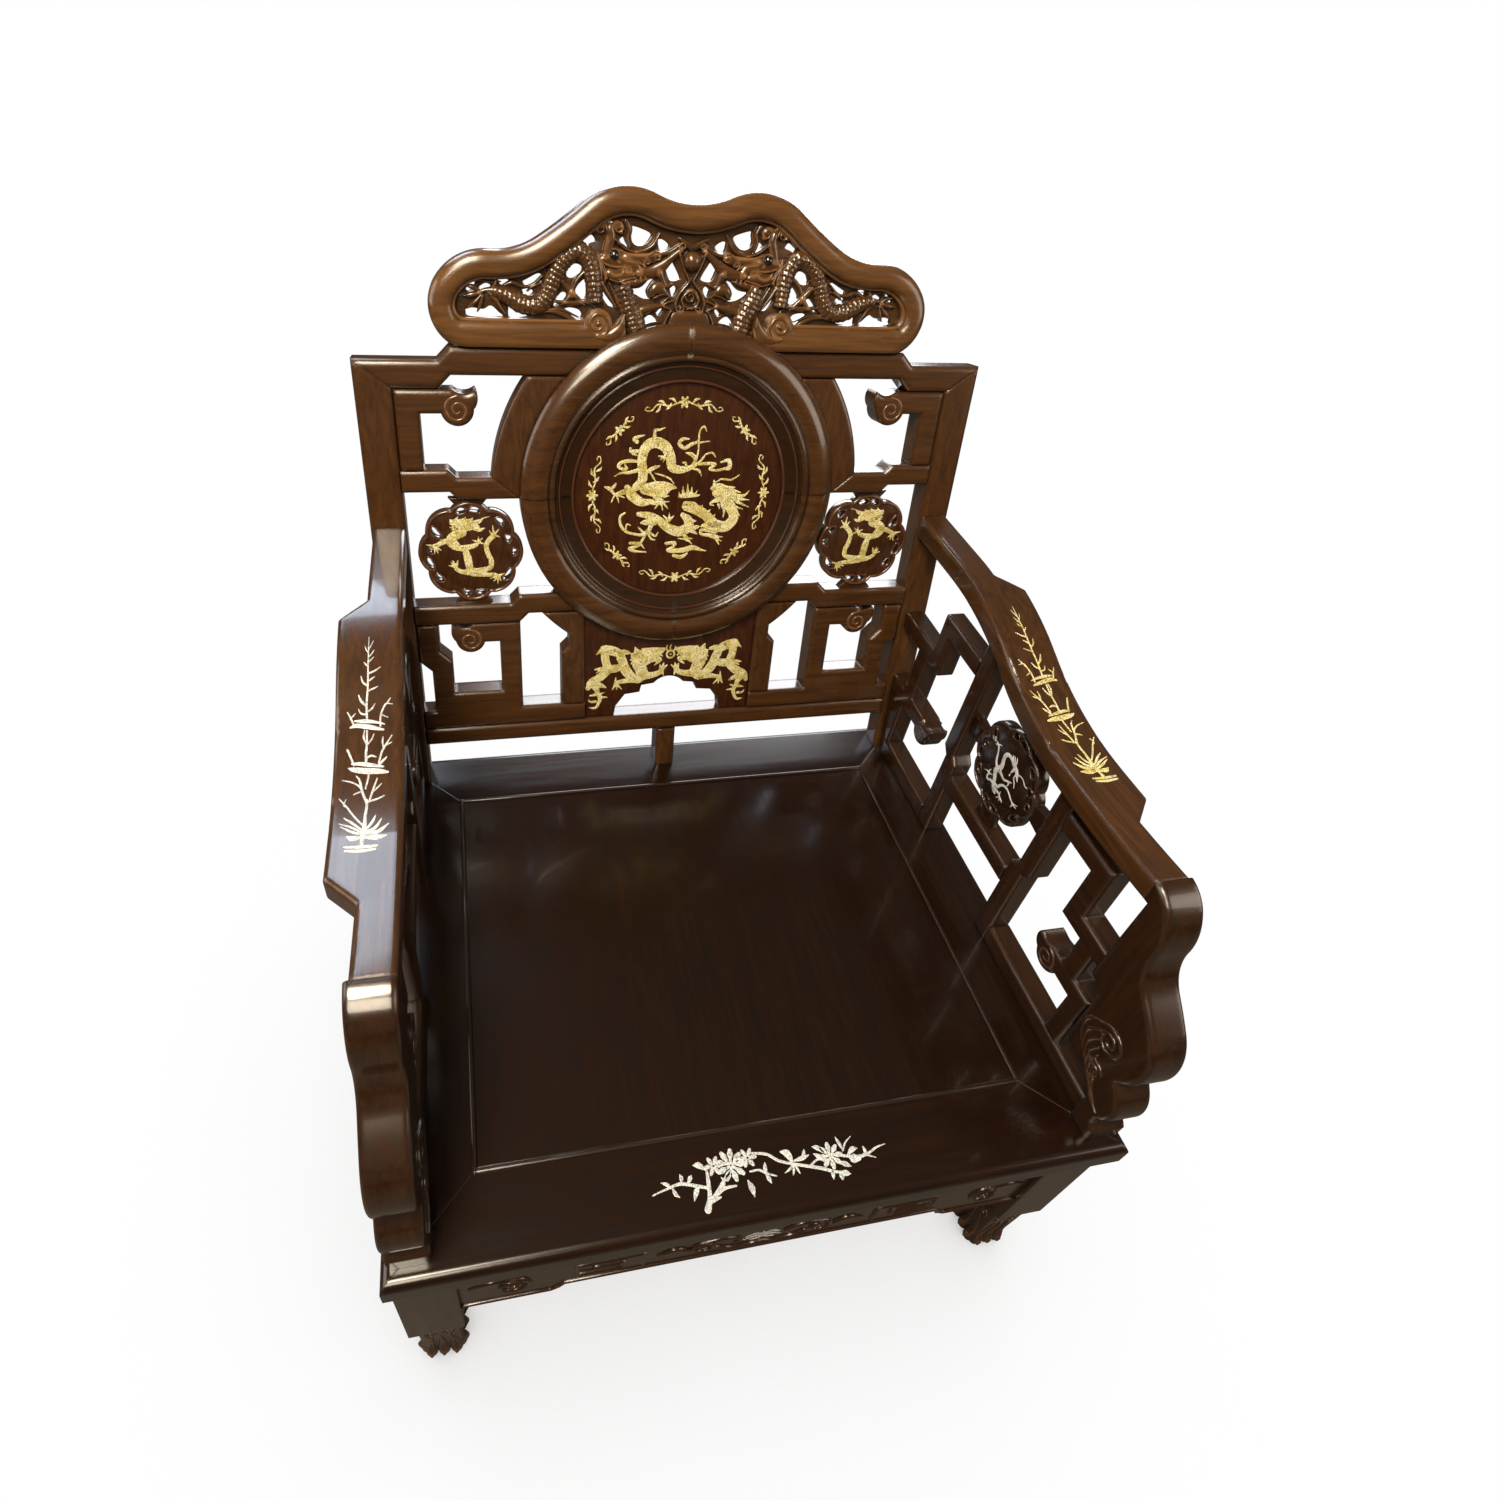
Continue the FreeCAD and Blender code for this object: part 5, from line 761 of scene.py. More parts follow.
def board(outlines, place, back, face, ease):
    """A sawn board with eased edges: its outline first, then the holes through it."""
    points, faces, inner, borders = [], [], [], []
    rows = ((1, back), (0.3, back + 0.3 * ease), (0, back + ease), (0, face - ease), (0.3, face - 0.3 * ease),
            (1, face))
    for number, outline in enumerate(outlines):
        line = np.array(outline, float)
        ahead, behind = np.roll(line, -1, 0) - line, line - np.roll(line, 1, 0)
        if (np.sum(line[:, 0] * ahead[:, 1] - line[:, 1] * ahead[:, 0]) > 0) != (number == 0):
            line, ahead, behind = line[::-1], -behind[::-1], -ahead[::-1]
        ahead, behind = (way / np.linalg.norm(way, axis=1)[:, None] for way in (ahead, behind))
        inward = np.stack([-(ahead + behind)[:, 1], (ahead + behind)[:, 0]], 1)
        inward /= np.maximum(np.sum(inward * np.stack([-ahead[:, 1], ahead[:, 0]], 1), 1), 0.5)[:, None]
        start, count = len(points), len(line)
        for shift, level in rows:
            points += [(*spot, level) for spot in line + inward * shift * ease]
        faces += walls(start, len(rows), count)
        borders.append(range(len(inner), len(inner) + count))
        inner += [(start + index, len(points) - count + index) for index in range(count)]
    flat = [Vector(points[low][:2]) for low, high in inner]
    edges = [(border[index - 1], border[index]) for border in borders for index in range(len(border))]
    ends = np.array([[flat[first], flat[second]] for first, second in edges])
    start, run = ends[:, 0], ends[:, 1] - ends[:, 0]
    cut = delaunay_2d_cdt(flat, edges, [], 0, TINY)
    for triangle in cut[2]:
        x, y = np.mean([cut[0][index] for index in triangle], axis=0)
        share = (y - start[:, 1]) / np.where(run[:, 1] == 0, 1e-9, run[:, 1])
        crossed = (share >= 0) & (share < 1) & (start[:, 0] + share * run[:, 0] > x)
        if np.sum(crossed) % 2:
            corners = [inner[cut[3][index][0]] for index in triangle]
            faces += [tuple(low for low, high in corners), tuple(high for low, high in reversed(corners))]
    return place(*np.array(points).T), faces


def medallion(name, place, flip, necks, wood, drawing, shell):
    """A pierced plate with its rims and necks, and the shell dragon on it."""
    holes = [[(flip * x, y) for x, y in bean(*hole)] for hole in HOLES]
    shapes = [board([lobed(MEDALLION_RADIUS), *holes], place, PLATE_BACK, 0, 1.5)]
    for x, y, slim, broad in necks:
        far = math.hypot(x, y)
        neck = [(along * x / far - out * y / far, along * y / far + out * x / far)
                for along, out in ((NECK_START, -slim), (NECK_START, slim), (far, broad), (far, -broad))]
        shapes.append(board([neck], place, PLATE_BACK + 1, -1.5, 0.8))
    rim = [(x, y, 3.6) for x, y in lobed(MEDALLION_RADIUS - 2.4, 10)]
    shapes.append(strokes([rim + rim[:1]], place, -2, 1.4, DOMED, 2))
    lips = flipped([[(*spot, 1.7) for spot in bean(x, y, long + HOLE_LIP, wide + HOLE_LIP, turn)]
                    for x, y, long, wide, turn in HOLES], flip)
    shapes.append(strokes([lip + lip[:1] for lip in lips], place, -1.5, 0.9, DOMED, 2))
    piece(name, shapes, wood, stands_for=(name.replace("carved_", ""),))
    inlay("inlay_" + name, flipped(drawing, flip), place, shell)


for name, way in SIDES:
    low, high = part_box("medallion_" + name)
    medallion("carved_medallion_" + name, on_back(500 * (low.x + high.x), 324.5, -7), -way,
              ((0, 66, 15, 23), (0, -66, 15, 23)), medallion_wood, MEDALLION_DRAGON, golden_pearl)

# Crest: a cushion-edged cloud frame over the roundel, open in the middle.
# Two scaled dragons carved through the board reach for a pearl on a stand; the ends roll into scrolls.
SCALE_PITCH, SCALE_BULGE, SCALE_DOME, SCALE_LAP, RING_PITCH, BOSS_SIDES = 5.2, 3.2, 0.45, 0.4, 0.7, 28
# The crest's frame, scrolls and carving are painted lighter than the back below: painted light, for the light that
# falls on the top of the chair.
crest_wood = rosewood("crest_rosewood", "x", (0.068, 0.0290, 0.0088), (0.145, 0.0650, 0.0195),
                      wear_and_highlight=0.5, soft=0.009)
dress(("crest_frame",), crest_wood)
volute_wood = rosewood("volute_rosewood", "x", (0.060, 0.0255, 0.0078), (0.130, 0.0580, 0.0175),
                       reach=0.002, soft=0.0008)
carved_wood = rosewood("carved_rosewood", "x", (0.034, 0.0142, 0.0043), (0.112, 0.0495, 0.0150),
                       wear_and_highlight=0.8, reach=0.002, soft=0.0004)
eye_black = rosewood("black_eye_beads", "x", (0.004, 0.004, 0.005), (0.006, 0.006, 0.007),
                     wear_and_highlight=0.0, coat=1.0, soft=0.0004)
ROUND = ((-1, 0), (-0.92, 0.4), (-0.7, 0.72), (-0.36, 0.94), (0, 1), (0.36, 0.94), (0.7, 0.72), (0.92, 0.4),
         (1, 0), (0.7, -0.8), (0, -1), (-0.7, -0.8))
SCALED_BODIES = [
    [(-213.4, 610, 8.6), (-204.4, 607.7, 12.2), (-194.4, 603.7, 14.4), (-181.7, 597.3, 15.5),
     (-165.7, 597, 15.5), (-155.7, 607.7, 15.5), (-148.4, 625, 15.5), (-138.4, 641, 15.5),
     (-122.4, 649.7, 15.1), (-110.7, 639, 15.1), (-106.4, 621.7, 14.4), (-104.4, 601, 12.2)],
    [(-76.4, 619, 14.4), (-72.4, 608.3, 16.9), (-67.7, 597, 19.1), (-63.7, 587.7, 20.5), (-61, 578.3, 20.9),
     (-58.4, 569, 20.9)],
]
CREST_CARVING = [
    [(-211.7, 609.7, 8), (-220, 609.7, 5.2), (-227.7, 607.7, 3.6)],
    [(-225, 608.3, 3.2), (-232.4, 612.3, 5.6), (-240, 613.7, 2)],
    [(-225.7, 606.7, 4), (-235, 605, 6.4), (-242.4, 604.3, 2)],
    [(-225.7, 604.3, 3.6), (-232.4, 597.7, 5.6), (-239, 593, 1.6)],
    [(-223.4, 604.3, 3.2), (-226.4, 595.7, 4.8), (-229.7, 589, 1.2)],
    [(-209.4, 619, 2.4), (-211.7, 610, 6), (-208.4, 598.3, 5.2), (-201, 587.7, 1.6)],
    [(-216.7, 607.7, 3.6), (-211.7, 603, 4.8), (-205.7, 603, 2)],
    [(-201, 615, 3.2), (-191.7, 617.7, 6.4), (-181.7, 614.3, 4), (-171, 616.3, 3.2), (-161, 625, 2.4)],
    [(-238.4, 616.7, 2), (-228.4, 619, 2.8), (-214.4, 617.7, 2.4), (-204.4, 618.3, 1.6)],
    [(-176.7, 610, 1.6), (-171, 615, 3.6), (-162.4, 617.7, 2)],
    [(-163.4, 591, 2.8), (-145, 590.3, 5.6), (-131.7, 585, 5.6), (-118.4, 576.3, 2.4)],
    [(-160, 592.3, 2), (-141.7, 593, 3.6), (-123.4, 586.3, 2)],
    [(-148.4, 601, 3.2), (-130, 599.7, 6), (-111.7, 600.3, 4), (-103, 594.3, 2.4)],
    [(-130, 609.7, 8.8), (-129.7, 608.3, 8.8)], [(-141.7, 622.3, 4.4), (-135.7, 615.7, 7.2), (-130, 609.7, 8)],
    [(-130, 609.7, 6.4), (-123.4, 604.3, 5.6), (-116.4, 598.3, 2.4)],
    [(-130, 609.7, 5.6), (-135.7, 602.3, 5.6), (-141, 598.3, 2)],
    [(-130, 609.7, 5.6), (-125, 621, 5.2), (-116.4, 629.7, 4.4), (-109, 632.3, 2)],
    [(-100, 625, 3.2), (-95, 615, 5.6), (-89, 606.3, 4.8), (-82.4, 597, 2.4)],
    [(-89.7, 619.7, 2.4), (-84.4, 610.3, 4.4), (-78.4, 601, 4), (-74.4, 592.3, 2)],
    [(-93, 625, 4), (-98.4, 635, 5.6), (-101.7, 645, 4)],
    [(-95.7, 642.3, 12), (-85.7, 644.3, 20.8), (-75, 641, 20), (-64.4, 637, 17.6), (-58.4, 632.3, 12.8)],
    [(-89, 629, 11.2), (-78.4, 627.7, 14.4), (-67.7, 628.3, 12)],
    [(-75, 620.3, 6), (-63.4, 621, 8.4), (-53.4, 623.7, 5.6), (-45.7, 625.7, 2)],
    [(-71.7, 645, 10.4), (-58.4, 644.3, 12), (-46.7, 645, 11.2), (-39, 647, 9.6)],
    [(-57.7, 631, 10.4), (-45, 631.7, 13.6), (-35, 636.3, 13.6), (-25, 644.3, 8.8), (-12.4, 654.3, 6.4)],
    [(-35.7, 632.3, 9.6), (-31.7, 625, 7.2), (-27.7, 619, 5.6), (-21, 621, 2)],
    [(-93.7, 646.3, 8.8), (-91, 655.7, 10.4), (-88.4, 663.7, 11.2), (-89.7, 670.3, 10.4)],
    [(-105, 669, 5.6), (-101, 674.3, 9.6), (-94.4, 676.3, 10.4)],
    [(-78.4, 669, 6.4), (-80.4, 673.7, 10.4), (-87, 675.7, 10.4)],
    [(-73, 678.3, 6.4), (-69, 670.3, 5.6), (-71, 663, 4), (-69, 655, 3.2)],
    [(-61.7, 649.7, 3.6), (-51, 652.7, 4.8), (-43.7, 657.3, 4.8), (-39.7, 663.7, 4), (-37, 668.3, 2.4)],
    [(-35.7, 649, 4), (-26.7, 650.7, 4.8), (-18.4, 655.3, 4.8), (-12.4, 659.7, 4)],
    [(-45, 607.7, 3.2), (-41, 615, 11.2), (-34.4, 616.3, 13.6), (-27.7, 612.3, 6.4), (-23, 608.3, 2)],
    [(-59, 591.7, 9.6), (-51, 595, 10.4), (-41, 597.7, 8.8), (-30.4, 599.7, 5.2)],
    [(-30.4, 599.7, 3.6), (-24.4, 603, 3.2), (-19, 604.3, 1.2)],
    [(-29.7, 598.3, 3.6), (-23.7, 597, 3.2), (-19.7, 594.3, 1.2)],
    [(-31.7, 601, 3.2), (-27.7, 605, 2.8), (-24.4, 607.7, 1.2)],
    [(-78.4, 568.3, 4.8), (-69, 574.3, 8), (-58.4, 574.3, 8), (-50.4, 581.7, 3.2)],
]
CREST_LINES = [
    [(-93.4, 670.7, 3.5), (-95.1, 674.3, 3.4), (-98.5, 675.9, 3.3), (-101.9, 674.9, 3.2), (-103.7, 672.1, 3.1),
     (-103.2, 669.1, 3), (-101.1, 667.3, 2.9), (-98.6, 667.3, 2.8), (-96.8, 668.8, 2.7), (-96.6, 670.9, 2.6),
     (-97.7, 672.4, 2.5), (-99.2, 672.7, 2.4), (-100.3, 672, 2.3)],
    [(-87.4, 671.7, 3.5), (-85.6, 675.5, 3.4), (-81.9, 677.2, 3.3), (-78.3, 676.1, 3.2), (-76.5, 673.1, 3.1),
     (-77, 670, 3), (-79.2, 668.1, 2.9), (-81.9, 668.2, 2.8), (-83.6, 669.8, 2.7), (-83.9, 671.9, 2.6),
     (-82.8, 673.4, 2.5), (-81.2, 673.7, 2.4), (-80.1, 673, 2.3)],
    [(-86.4, 663, 2.1), (-78.4, 657, 3.9), (-70.4, 652.3, 3.5), (-61.7, 649.7, 1.8)],
    [(-78.4, 651, 2.5), (-65, 647.3, 3.5), (-51.7, 647.3, 3.5), (-42.4, 651, 3.2), (-38.4, 653, 1.8)],
    [(-39.4, 651.7, 3.2), (-36.4, 650.2, 3), (-35.4, 647.3, 2.9), (-36.5, 644.7, 2.8), (-38.9, 643.7, 2.7),
     (-41.1, 644.6, 2.6), (-42, 646.5, 2.5), (-41.3, 648.3, 2.4), (-39.9, 648.9, 2.3), (-38.6, 648.5, 2.2),
     (-38.1, 647.4, 2)],
    [(-52.4, 638.3, 3.2), (-53.4, 641.2, 3), (-52.1, 643.8, 2.9), (-49.7, 644.7, 2.8), (-47.5, 643.7, 2.7),
     (-46.7, 641.8, 2.6), (-47.4, 640, 2.5), (-48.9, 639.4, 2.4), (-50.2, 639.9, 2.3), (-50.6, 641, 2.2),
     (-50.3, 641.8, 2)], [(-60.4, 643, 1.8), (-56.4, 639.7, 3.2), (-51, 637, 2.8)],
    [(-101.7, 647.7, 2.1), (-98.4, 641, 3.5), (-89.7, 636.7, 3.9), (-78.4, 635.7, 3.5), (-72.4, 639.7, 2.1)],
    [(-95.7, 645.7, 5.2), (-95.4, 645.7, 5.2)], [(-76.7, 644.7, 3.9), (-70.7, 644, 4.5)],
    [(-79.7, 640.7, 4.2), (-79.4, 640.7, 4.2)],
    [(-75, 632.3, 2.8), (-73.5, 635.6, 2.7), (-70.4, 636.9, 2.6), (-67.4, 636, 2.6), (-65.9, 633.6, 2.5),
     (-66.3, 630.9, 2.4), (-68.2, 629.4, 2.3), (-70.4, 629.4, 2.2), (-71.9, 630.8, 2.1), (-72, 632.5, 2.1),
     (-71.1, 633.7, 2), (-69.8, 634, 1.9), (-68.9, 633.4, 1.8)],
    [(-91, 633.7, 2.1), (-86.4, 628.3, 3.5), (-78.4, 628.3, 3.2), (-74.4, 631.7, 2.1)],
    [(-89, 623.7, 2.1), (-79.7, 621.3, 3.2), (-71.7, 624, 3.2), (-61, 626.3, 1.8)],
    [(-96.4, 637.7, 1.8), (-93.4, 629, 3.5), (-95, 620.3, 1.8)],
    [(-101.4, 641.7, 2.1), (-99, 631.7, 3.5), (-97.7, 622.3, 1.8)], [(-56, 626, 3.2), (-55.4, 622.3, 1.1)],
    [(-51, 627, 3.2), (-50, 623.7, 1.1)], [(-61.7, 623, 2.8), (-60.4, 625.7, 1.1)],
    [(-42.7, 608.3, 1.1), (-39, 613.7, 1.8), (-31.7, 618.3, 1.1)],
    [(-41, 606.3, 1.1), (-35, 609.3, 1.8), (-27, 611.3, 1.1)],
    [(-43.7, 612.3, 1.1), (-40.4, 617.7, 1.8), (-35.7, 621, 1.1)],
    [(-91.7, 649.7, 1.8), (-87.7, 656.3, 2.8), (-86.4, 662.3, 1.8)],
    [(-94.4, 651, 1.8), (-92.4, 658.3, 2.8), (-91.7, 664.3, 1.8)],
]
PEARL_STAND = [
    [(-15, 652.3, 3.1), (-11, 641, 3.4), (-5.7, 631, 3.4), (-2.4, 624.3, 3.8), (-6.4, 619, 3.8),
     (-12.4, 611.7, 4.2), (-15.7, 603, 4.2), (-15, 595.7, 3.8), (-11, 592.3, 2.7)],
    [(-8.4, 592.7, 3.1), (-10.7, 593.9, 2.9), (-11.4, 596.2, 2.8), (-10.4, 598.2, 2.7), (-8.5, 598.8, 2.6),
     (-7, 598, 2.5), (-6.5, 596.5, 2.4), (-7.1, 595.4, 2.2), (-8.2, 595, 2.1), (-9, 595.5, 2)],
    [(-12.4, 652.9, 3.1), (-14.5, 655.1, 3), (-14.6, 657.9, 2.9), (-12.8, 659.8, 2.7), (-10.5, 659.9, 2.6),
     (-8.9, 658.6, 2.5), (-8.7, 656.7, 2.4), (-9.8, 655.5, 2.3), (-11.1, 655.3, 2.2), (-12, 656.1, 2.1),
     (-12, 657, 2)],
    [(-0.4, 615, 3.1), (-7, 610.7, 3.8), (-9.4, 604.3, 3.8), (-5.7, 599, 3.4), (3, 596.7, 2.3)],
    [(-21, 594.3, 2.7), (-25, 587.7, 3.4), (-28.4, 579.7, 2.7)],
]
OPENING = (
    (118, 581), (160, 581), (218, 581), (246, 581.5), (254.8, 591), (253, 603.3), (245.5, 612.5),
    (236.1, 618.8), (224.4, 622.6), (209.4, 622.9), (196, 624), (182.7, 626.6), (169.9, 630.7), (157.7, 636.4),
    (141.6, 646.2), (121.6, 659.8), (102.4, 674.5), (91.4, 681.2), (78.1, 685.3), (64.1, 685.6), (52.9, 683.1),
    (41.1, 678.8), (28.8, 675.3), (14.5, 672.8), (0, 672),
)
VOIDS = [
    [(-240.4, 610.2), (-236.4, 615.2), (-230.9, 617.3), (-233.2, 612.3), (-237.5, 608.7)],
    [(-242, 590.8), (-234.3, 592.6), (-223.4, 591.5), (-215.5, 595), (-207.8, 589.1), (-204.9, 584.4),
     (-238, 585)], [(-226.4, 613), (-220, 616.3), (-215, 614.3), (-218.4, 609.7), (-224.4, 609)],
    [(-206.4, 619.7), (-200.4, 620.9), (-195, 619), (-197, 615), (-204, 615.7)],
    [(-181.1, 619.2), (-175.3, 622.1), (-165.8, 626.8), (-161.2, 625.3), (-162.9, 620.3), (-170.4, 616.4),
     (-178.2, 615.8)], [(-182.1, 611.3), (-175.2, 612.4), (-170.6, 609.7), (-174.6, 605.6), (-179.8, 606.1)],
    [(-196.8, 595.8), (-190.7, 594), (-185.7, 589), (-178.9, 588), (-167.2, 588.4), (-181.7, 584.6),
     (-196.3, 584.6)],
    [(-135.7, 628.3), (-132.4, 634.7), (-125, 637.3), (-118.7, 634.7), (-120.4, 628.7), (-127.7, 624.7),
     (-133.4, 624.7)],
    [(-146.1, 604.2), (-140.2, 609.8), (-135.5, 608.6), (-136.2, 604.2), (-141.7, 601.2), (-146.7, 596.8),
     (-148.9, 597.7)],
    [(-125.4, 613.3), (-121.4, 618.7), (-115.4, 622.7), (-114, 615), (-115, 605), (-121.4, 605),
     (-125.4, 608.3)],
    [(-139.4, 592.8), (-132.2, 595), (-121.7, 592.8), (-118.2, 585.9), (-124.1, 584), (-126.4, 584),
     (-134.1, 586.8)],
    [(-95.7, 611), (-93, 611), (-89, 606.3), (-85.7, 601), (-84.4, 597), (-89, 597.7), (-93, 601.7),
     (-96.4, 607)],
    [(-117.7, 659.3), (-115, 661.5), (-112.4, 663.3), (-107.7, 664.3), (-104.4, 659.7), (-109, 657.7),
     (-115.7, 655.7)],
    [(-65.7, 674.3), (-58.4, 673), (-45.7, 668.3), (-47, 663), (-52.4, 657.7), (-58.4, 656.3), (-63.7, 658.3),
     (-66.4, 663.7), (-65.4, 670.3)],
    [(-78.7, 661.7), (-75, 664), (-72.7, 659.7), (-69, 654.3), (-66.4, 651.7), (-71.7, 653.7), (-75.7, 657)],
    [(-37.7, 663), (-32.4, 663), (-25.7, 658.7), (-27, 655), (-31.7, 651.7), (-34.7, 652.3), (-37, 657)],
    [(-31, 641), (-23, 644), (-17.7, 637.7), (-12.4, 629), (-12.4, 625.7), (-21, 624), (-25, 627.7),
     (-27.7, 634.3)],
    [(-66.4, 614.7), (-56.4, 616), (-50.4, 620), (-46.4, 624), (-41, 625.3), (-44.4, 620.7), (-48.4, 613.7),
     (-47, 608.3), (-44.4, 605.3), (-53, 606.7), (-59.7, 610)],
    [(-22.4, 616.3), (-18, 619.3), (-15, 616.3), (-17, 610.7), (-20, 609)],
    [(-50.5, 579.8), (-51.3, 583.7), (-45.6, 589), (-40.6, 588.5), (-35.4, 583.7), (-40.7, 582.6),
     (-43.5, 581.9)], [(-36.7, 592), (-32, 596.7), (-29.7, 595), (-34, 589.3)],
    [(-154.5, 594.1), (-148.4, 592.9), (-142.8, 591.1), (-148.4, 589.2)],
]


def scaled(line, place, low, rise):
    """A carved body covered with staggered rows of round scales, each lapping over the next."""
    path = smooth_path(line, 12)
    run = np.concatenate([[0], np.cumsum(np.linalg.norm(np.diff(path[:, :2], axis=0), axis=1))])
    steps = np.linspace(0, run[-1], int(run[-1] / RING_PITCH))
    path = np.stack([np.interp(steps, run, path[:, axis]) for axis in range(3)], 1)
    turns = np.concatenate([np.linspace(0, math.pi, 34), np.linspace(math.pi, math.tau, 8)[1:-1]])
    points = []
    for row, at, out, wide in zip(steps / SCALE_PITCH, path[:, :2], sideways(path), path[:, 2]):
        height = np.zeros(len(turns))
        for scale_row in range(math.floor(row) - 1, math.floor(row) + 2):
            column = turns * wide / 2 / SCALE_PITCH + 0.5 * (scale_row % 2)
            along, across = row - scale_row - 0.5, column - np.round(column)
            near = np.maximum(1 - 2 * (along ** 2 + across ** 2), 0)
            lapped = SCALE_DOME * np.sqrt(near) + SCALE_LAP * (along + 0.7)
            height = np.maximum(height, np.where(near > 0, lapped, 0))
        for turn, grow in zip(turns, SCALE_BULGE * height * (turns <= math.pi)):
            spot = at + out * math.cos(turn) * (wide / 2 + grow * abs(math.cos(turn)))
            points.append((*spot, (rise + grow) * math.sin(turn) if turn <= math.pi else -low * math.sin(turn)))
    return place(*np.array(points).T), tube(0, len(path), len(turns))


def ball(x, y, height, radius, place, low):
    """A carved boss standing on the board."""
    points = [(x, y, height + radius)]
    rings = [(radius * math.sin(tilt), height + radius * math.cos(tilt)) for tilt in np.linspace(0.2, 1.9, 10)]
    rings.append((rings[-1][0], low))
    for reach, level in rings:
        points += [(x + reach * math.cos(turn), y + reach * math.sin(turn), level)
                   for turn in np.linspace(0, math.tau, BOSS_SIDES, endpoint=False)]
    faces = [(0, 1 + index, 1 + (index + 1) % BOSS_SIDES) for index in range(BOSS_SIDES)]
    faces += [*walls(1, len(rings), BOSS_SIDES), tuple(range(len(points) - BOSS_SIDES, len(points)))]
    return place(*np.array(points, float).T), faces


on_crest = on_back(0, 0, -10)
edge = [*OPENING, *((-x, y) for x, y in reversed(OPENING[:-1]))]
lip = strokes([[(x, y, 5.5) for x, y in edge]], on_back(0, 0, -6), -6, 4.5, DOMED, 3)
piece("crest_lip", [lip], crest_wood)
volutes = pair([spiral(103, 581, 13, 3, -1.5, -math.pi / 2, 6),
                [(103, 569, 7), (90, 568.5, 11), (79, 577, 11), (75, 590, 2)],
                [(103, 581, 6), (102.6, 581.2, 6)]])
piece("crest_volutes", [strokes(volutes, on_back(0, 0, 3), -17, 3, DOMED)], volute_wood)
ledge = [(-73, 569.6), (-60, 574.4), (-40, 579.8), (-20, 583), (0, 584), (20, 583), (40, 579.8), (60, 574.4),
         (73, 569.6)]
voids = [[(way * x, y) for x, y in smooth_path(void + void[:1], 4)[:-1]] for void in VOIDS for way in (-1, 1)]
shapes = [board([[*ledge, *edge], *voids], on_crest, -8, -1, 1.0)]
for flip in (1, -1):
    shapes += [strokes(flipped(CREST_CARVING, flip), on_crest, -7, 4.6, ROUND),
               strokes(flipped(CREST_LINES + PEARL_STAND, flip), on_crest, -7, 7, ROUND)]
    shapes += [scaled(body, on_crest, -6.5, 6.5) for body in flipped(SCALED_BODIES, flip)]
stand = [(-26, 576), (26, 576), (20, 592), (13, 595), (-13, 595), (-20, 592)]
cloud = [[(-14, 664, 5), (0, 657, 9), (14, 664, 5)], spiral(0, 609, 8, 2, 1.4, 0, 3.6)]
shapes += [board([stand], on_crest, -8, 5, 1.5), ball(0, 643.5, 0, 10.5, on_crest, -7),
           strokes(cloud, on_crest, -7, 6.4, ROUND)]
piece("carved_crest_dragons", shapes, carved_wood, stands_for=("crest_dragons",))
eyes = [ball(way * 85, 646.7, 2.5, 5.6, on_crest, -3) for way in (-1, 1)]
piece("dragon_eyes", eyes, eye_black)

# Arms: stiles, rails and sawn frets under a broad sloping rest, with a scrolled post at the front.
# Each arm holds a pierced medallion facing the sitter; a shell branch is let into the top of each rest.
# The arm's stiles, rails, frets and post are painted darker and its pierced plates darker still, a painted shade
# inside the arms; the rest is painted lighter, a painted light on its top.
ARM_DEEP, ARM_WARM = (0.014, 0.0053, 0.0020), (0.034, 0.0130, 0.0045)
PLATE_FACE, REST_LINE, FRET_SUNK = 0.340, 0.357, 0.0012
FRET_FACES, CHEEK_FACES = ((-1, 0.333), (1, 0.361)), ((-1, 0.325), (1, 0.365))
arm_upright = rosewood("arm_upright_rosewood", "z", ARM_DEEP, ARM_WARM)
arm_along = rosewood("arm_along_rosewood", "y", ARM_DEEP, ARM_WARM)
carved_arm = rosewood("carved_arm_rosewood", "y", ARM_DEEP, ARM_WARM, wear_and_highlight=0.6, reach=0.002, soft=0.0008)
arm_top = rosewood("arm_top_rosewood", "y", (0.028, 0.0110, 0.0036), (0.072, 0.0295, 0.0090), coat=0.55)
arm_plate = rosewood("arm_plate_rosewood", "z", (0.009, 0.0034, 0.0014), (0.022, 0.0080, 0.0030), soft=0.0008)
for parts, wood in (
    (("arm_stile_front", "arm_stile_rear", "arm_front_post"), arm_upright),
    (("arm_bottom_rail_front", "arm_bottom_rail_rear", "arm_medallion_rail", "arm_fret_front", "arm_fret_rear"),
     arm_along),
    (("armrest",), arm_top),
):
    dress([part + "_" + name for part in parts for name, way in SIDES], wood)
